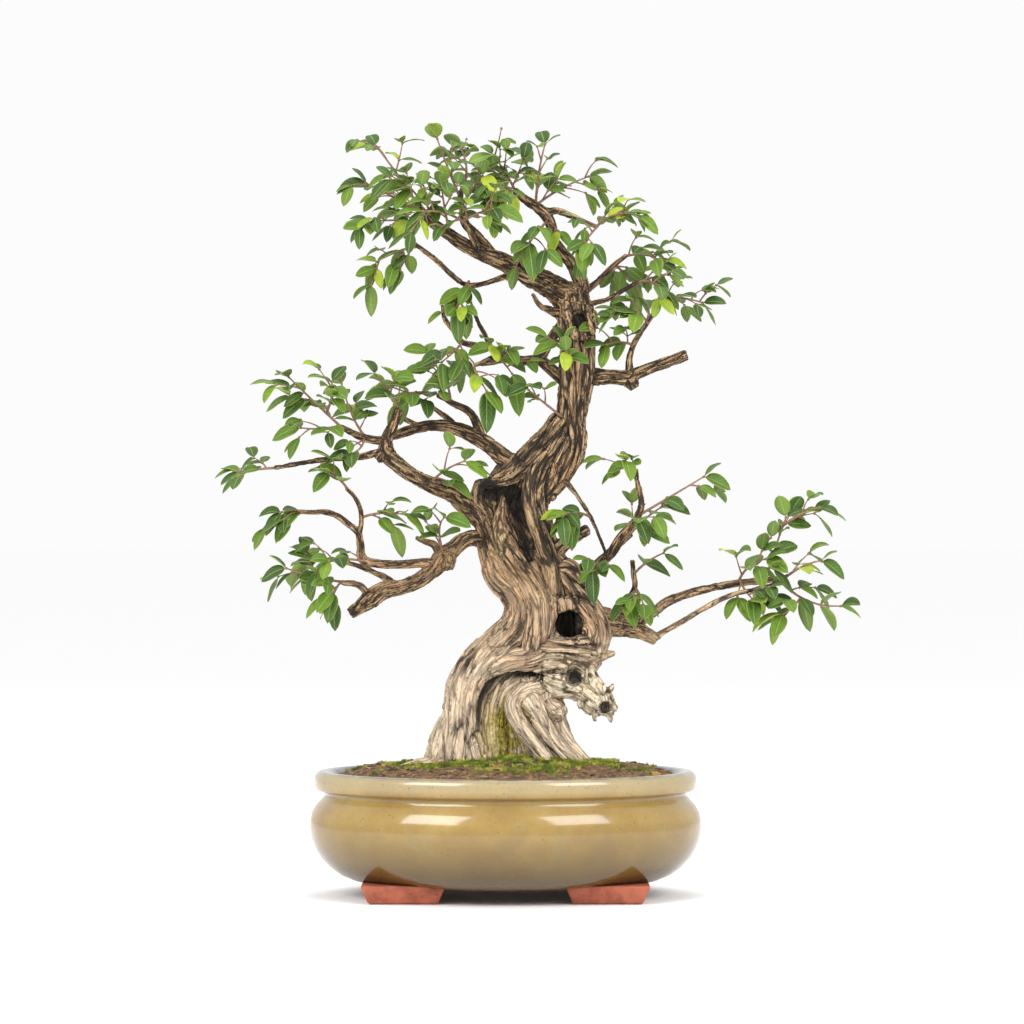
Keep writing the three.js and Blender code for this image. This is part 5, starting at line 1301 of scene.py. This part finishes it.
# Where hollows are carved wider or deeper than in the CAD source: the slit's left side, the eye of the dead
# wood, the knothole and the pit of the round scar
SCAR_PIT = [[58, -30, 452, 7], [58, -14, 452, 6.6]]
CARVED = [
    [[-15, -15, 322, 6.5], [-14, -15, 308, 6], [-12, -16, 296, 4], [-9, -17, 286, 2.5]],
    [[54, -34, 173, 8], [54, -20, 172.5, 7], [55, -16, 172, 5]],
    [[50, -44, 214, 12.2], [50, -8, 214, 12], [50, 7, 214, 11]],
    SCAR_PIT,
    # The shadow line between the left root column, the lip of the arch and the roots inside it
    [[-20, -11, 104, 2.4], [-21, -11, 130, 2.8], [-21, -10, 150, 3.2], [-16, -10, 163, 3.6],
     [-6, -10, 171, 3.8], [8, -11, 175, 3.8], [22, -11, 176, 3.4], [36, -8, 174, 2.6]],
    # The slit's right side
    [[4, -16, 318, 8], [9, -17, 300, 8], [14, -17, 282, 6], [19, -18, 266, 4.5]],
]
# Painted shade where no light falls: the bark is painted near black inside the slit, the knothole, the scar's
# pit, the eye, the open end and the arch's shadow line
WELLS = [
    [[-13, -3, 320, 8], [-4, 1, 318, 9], [8, 1, 312, 9], [11, 0, 299, 7.5], [13, -2, 285, 6.5],
     [18, -7, 267, 5]],
    [[50, 6, 214, 14], [50, -5, 214, 12]],
    [[58, -18, 452, 6.4], [58, -13, 452, 6.4]],
    [[54, -21, 172.5, 6.4], [55, -14, 172, 5.5]],
    [[79, -25, 148, 4.8], [78, -12, 149, 4.6]],
    [[-21, -9, 130, 2.2], [-21, -8, 150, 2.8], [-16, -8, 163, 3.4], [-6, -8, 171, 3.8], [8, -9, 175, 3.8],
     [22, -9, 176, 3.2]],
]
# Broken ends of dead wood round the open snout
SHARDS = [
    [[78, -12, 156, 3.4], [82, -12, 162, 2.4], [85, -12, 167, 1.0]],
    [[80, -13, 150, 3.4], [84, -14, 149, 2.4], [87, -15, 146, 1.2]],
    [[79, -14, 145, 3.4], [82, -16, 141, 2.2], [83, -17, 137, 1.0]],
    [[72, -14, 148, 3.2], [70, -16, 143, 2.4], [70, -17, 138, 1.2]],
    [[75, -14, 157, 2.4], [77, -16, 163, 1.6], [78, -17, 167, 0.8]],
    [[61, -14, 157, 3.2], [59, -17, 152, 2.2], [58, -18, 148, 1.0]],
    [[46, -17, 178, 3.4], [54, -20, 182.5, 3.2], [62, -19, 178, 3.0], [64, -18, 170, 2.8]],
    [[46, -17, 172, 3.0], [50, -19, 164.5, 3.0], [58, -19, 163, 2.8]],
]
# Wood behind the slit, so that no light comes through it
BACKING = [[[5, 12, 254, 7], [1, 12, 268, 8], [-1, 12, 282, 8], [-4, 12, 298, 7]]]
TRUNK_STRANDS = ROOTS + TRUNK + DEADWOOD + SHARDS + BACKING
TRUNK_VOXEL = 1.0 * MM
LIMB_VOXEL = 0.85 * MM
TRUNK_FACES = 190000
LIMB_FACES = 150000


def make_trunk():
    tubes = bent_tubes("trunk_tubes", TRUNK_STRANDS, 14)
    rings = [lip_ring("scar_lip", SCAR_LIP), lip_ring("knot_lip", KNOT_LIP)]
    trunk = join("trunk", [tubes, *rings])
    apply_modifier(trunk, "REMESH", mode="VOXEL", voxel_size=TRUNK_VOXEL)
    cut_hollows(trunk, HOLLOWS + CARVED)
    spike = bent_tubes("spike", [SPIKE], 12)
    trunk = join("trunk", [trunk, spike])
    apply_modifier(trunk, "REMESH", mode="VOXEL", voxel_size=TRUNK_VOXEL)
    apply_modifier(trunk, "SMOOTH", factor=0.4, iterations=1)
    carve_bark(trunk, TRUNK_STRANDS + [SPIKE], 6.0, 2.0, 0.006, HOLLOWS + CARVED)
    thin_out(trunk, TRUNK_FACES)
    trunk.data.shade_smooth()
    paint(trunk, "bark", bark_look("old_bark", 4.6, rgb(240, 212, 178), rgb(206, 168, 126), rgb(46, 31, 21)))
    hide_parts("tree_wood")
    settle(trunk)


def make_limbs():
    limbs = bent_tubes("limbs", BRANCHES, 12)
    apply_modifier(limbs, "REMESH", mode="VOXEL", voxel_size=LIMB_VOXEL)
    inner = [SLIT_FRONT, SLIT_BACK, SCAR_PIT]
    cut_hollows(limbs, inner)
    apply_modifier(limbs, "SMOOTH", factor=0.5, iterations=2)
    carve_bark(limbs, BRANCHES, 3.2, 1.5, 0.01, inner)
    thin_out(limbs, LIMB_FACES)
    limbs.data.shade_smooth()
    paint(limbs, "bark", bark_look("limb_bark", 3.0, rgb(232, 202, 158), rgb(190, 150, 104), rgb(62, 43, 28)))
    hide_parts("tree_wood")
    settle(limbs)


# Leafy sprays

def blade_pattern(fold, ripple):
    """An oval leaf of length 1, folded along its rib: points, faces, map corners and the points underneath"""
    deselect()
    bpy.ops.mesh.primitive_grid_add(x_subdivisions=9, y_subdivisions=4, size=1, location=(0, 0, 0))
    blade = bpy.context.object
    at = positions(blade)
    along, across = at[:, 0] + 0.5, at[:, 1] * 2
    half = HALF_WIDTH_SHARE * np.maximum(0, np.sin(math.pi * along**0.9)) ** 0.62
    half = np.maximum(half, 0.012 * (along < 0.5))
    wave = ripple * np.sin(9 * along + 2 * np.sign(across)) * np.abs(across)
    shaped = np.stack([0.06 + 0.94 * along, across * half, fold * np.abs(across) * half + wave], 1)
    set_positions(blade, shaped)
    apply_modifier(blade, "SOLIDIFY", thickness=0.02, offset=0)
    points = positions(blade)
    faces = [tuple(p.vertices) for p in blade.data.polygons]
    uv = blade.data.uv_layers[0].data
    corners = [[tuple(uv[k].uv) for k in p.loop_indices] for p in blade.data.polygons]
    under = np.zeros(len(points))
    for polygon in blade.data.polygons:
        if polygon.normal.z < -0.3:
            under[list(polygon.vertices)] = 1
    bpy.data.objects.remove(blade)
    return points, faces, corners, under


def tube(points, radii, sides):
    """A closed tube along straight lengths, as points and faces"""
    points = np.array(points, float)
    tangents = np.gradient(points, axis=0)
    vertices, faces = [], []
    across = None
    for k, (point, tangent, radius) in enumerate(zip(points, tangents, radii)):
        tangent = unit(tangent)
        if across is None:
            across = np.cross(tangent, BACK if abs(tangent[1]) < 0.9 else UP)
        across = unit(across - tangent * np.dot(across, tangent))
        other = np.cross(tangent, across)
        for j in range(sides):
            turn = 2 * math.pi * j / sides
            vertices.append(point + radius * (across * math.cos(turn) + other * math.sin(turn)))
            if k:
                a, b = (k - 1) * sides + j, (k - 1) * sides + (j + 1) % sides
                faces.append((a, b, b + sides, a + sides))
    last = (len(points) - 1) * sides
    faces.append(tuple(reversed(range(sides))))
    faces.append(tuple(last + j for j in range(sides)))
    return vertices, faces


class SprayMesh:
    """Points, faces and attributes of one spray, filled leaf by leaf and twig by twig"""

    def __init__(self):
        self.points, self.faces, self.corners, self.material = [], [], [], []
        self.tone, self.under, self.worn = [], [], []

    def add(self, points, faces, tone, under=None, worn=0.0, corners=None, material=0):
        first = len(self.points)
        self.points += [tuple(metres(p)) for p in points]
        self.faces += [tuple(first + i for i in face) for face in faces]
        self.corners += corners or [[(0, 0)] * len(face) for face in faces]
        self.tone += [tone] * len(points)
        self.under += list(under) if under is not None else [0.0] * len(points)
        self.worn += [worn] * len(points)
        self.material += [material] * len(faces)

    def piece(self, name):
        made = mesh_piece(name, self.points, self.faces)
        uv = made.data.uv_layers.new(name="blade")
        uv.data.foreach_set("uv", [value for face in self.corners for corner in face for value in corner])
        for attribute in ("tone", "under", "worn"):
            set_attribute(made, attribute, np.array(getattr(self, attribute)))
        return made


def add_leaf(spray, leaf, pattern, tone, worn):
    """Bends the pattern along the leaf's droop, and adds the leaf with its stalk"""
    points, faces, corners, under = pattern
    along, across, above = points[:, :1], points[:, 1:2], points[:, 2:]
    slope = leaf["heading"][None] - 2 * leaf["droop"] * along * UP
    lift = np.cross(leaf["width"][None], slope)
    lift *= np.where(lift[:, 2] < 0, -1, 1)[:, None]
    lift /= np.linalg.norm(lift, axis=1)[:, None]
    at = leaf["point"] + leaf["length"] * (leaf["heading"] * along + leaf["width"] * across + lift * above)
    at[:, 2] -= leaf["length"] * leaf["droop"] * points[:, 0] * points[:, 0]
    turned = np.dot(np.cross(leaf["heading"], leaf["width"]), lift[len(lift) // 2]) < 0
    if turned:
        faces = [tuple(reversed(face)) for face in faces]
        corners = [list(reversed(corner)) for corner in corners]
    spray.add(at, faces, tone, under, worn, corners)
    stalk = [leaf["point"], on_blade(leaf, 0.05, 0), on_blade(leaf, 0.12, 0)]
    spray.add(*tube(stalk, [0.55, 0.5, 0.35], 5), 0.5, material=1)


def add_twig(spray, shoot, radius):
    """A twig that thins towards its tip, with a knot at each pair of leaves"""
    shares = np.linspace(0, 1, 7)
    points = [on_shoot(shoot, t) for t in shares]
    radii = [radius * (1 - 0.5 * t) for t in shares]
    spray.add(*tube(points, radii, 6), 0.1, material=1)
    for share in node_shares(shoot):
        along, point = along_shoot(shoot, share), on_shoot(shoot, share)
        knot = [point - along * 1.2, point - along * 0.4, point + along * 0.4, point + along * 1.2]
        spray.add(*tube(knot, [0.5, 1.05, 1.05, 0.4], 6), 0.3, material=1)


CROWN_FROM = 440  # shoots that start above this height belong to the crown
CROWN_SHARES = (0.14, 0.34, 0.55, 0.76, 0.94)  # where side shoots leave a shoot, as shares of its length
LOWER_SHARES = (0.22, 0.5, 0.78)
SIDE_KEY, YOUNG_KEY, WORN_KEY = 300000, 70000, 71000


def side_shoots(shoots):
    """Further shoots from the listed ones, each with a pair or two of leaves that the CAD model leaves out"""
    extra = []
    for index, shoot in enumerate(shoots):
        crown = shoot["start"][2] > CROWN_FROM
        for k, share in enumerate(CROWN_SHARES if crown else LOWER_SHARES):
            key = SIDE_KEY + 911 * index + 37 * k
            along, start = along_shoot(shoot, share), on_shoot(shoot, share)
            sparse = start[0] > 60 and not crown
            if draw(key + 3) > (0.72 if sparse else 0.97):
                continue
            across = unit(np.cross(along, BACK if abs(along[2]) > 0.85 else UP))
            above = unit(np.cross(across, along))
            turn = 2.4 * k + 6.28 * draw(key)
            out = unit(across * math.cos(turn) + above * math.sin(turn) + 0.6 * along + 0.25 * UP)
            reach = 9 + 13 * draw(key + 1)
            bend = start + out * reach * 0.5 + UP * 2
            tip = start + out * reach + along * 3
            extra.append({
                "spray": shoot["spray"], "start": start, "bend": bend, "tip": tip,
                "pairs": 1 if reach < 17 else 2, "leaf_length": (19 if crown else 22) + 6 * draw(key + 2),
            })
    return extra


def make_sprays():
    shoots = list_shoots(SPRAYS)
    foliage = Foliage()
    foliage.know_twigs(shoots)
    foliage.grow(shoots)
    extra = side_shoots(shoots)
    foliage.grow(extra, len(shoots), ease=0.5)
    patterns = [blade_pattern(0.28, 0.006), blade_pattern(0.12, 0.012), blade_pattern(0.42, 0.004)]
    leaf, twig = leaf_look(), twig_look()
    leaf_points = set()
    meshes = {spray: SprayMesh() for spray in SPRAYS}
    for i, one in enumerate(foliage.leaves):
        young = draw(YOUNG_KEY + i) >= 0.93
        tone = 0.78 + 0.2 * one["tone"] if young else 0.08 + 0.6 * one["tone"]
        worn = 1.0 if draw(WORN_KEY + i) > 0.8 else 0.0
        add_leaf(meshes[one["spray"]], one, patterns[i % 3], tone, worn)
        leaf_points.add(tuple(np.round(one["point"], 3)))
    for shoot in shoots:
        add_twig(meshes[shoot["spray"]], shoot, 1.15)
    for shoot in extra:
        if any(tuple(np.round(on_shoot(shoot, t), 3)) in leaf_points for t in node_shares(shoot)):
            add_twig(meshes[shoot["spray"]], shoot, 0.75)
    for name, mesh in meshes.items():
        piece = mesh.piece("spray_leaves_" + name)
        paint(piece, "leaf", leaf, twig)
        piece.data.polygons.foreach_set("material_index", mesh.material)
        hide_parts("spray_" + name)
        settle(piece)


make_stage()
make_pot()
make_soil()
make_moss()
make_litter()
screen = screen_look()
for side in ("left", "right"):
    paint(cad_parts["drain_screen_" + side], "drain_screen", screen)
make_trunk()
make_limbs()
make_sprays()
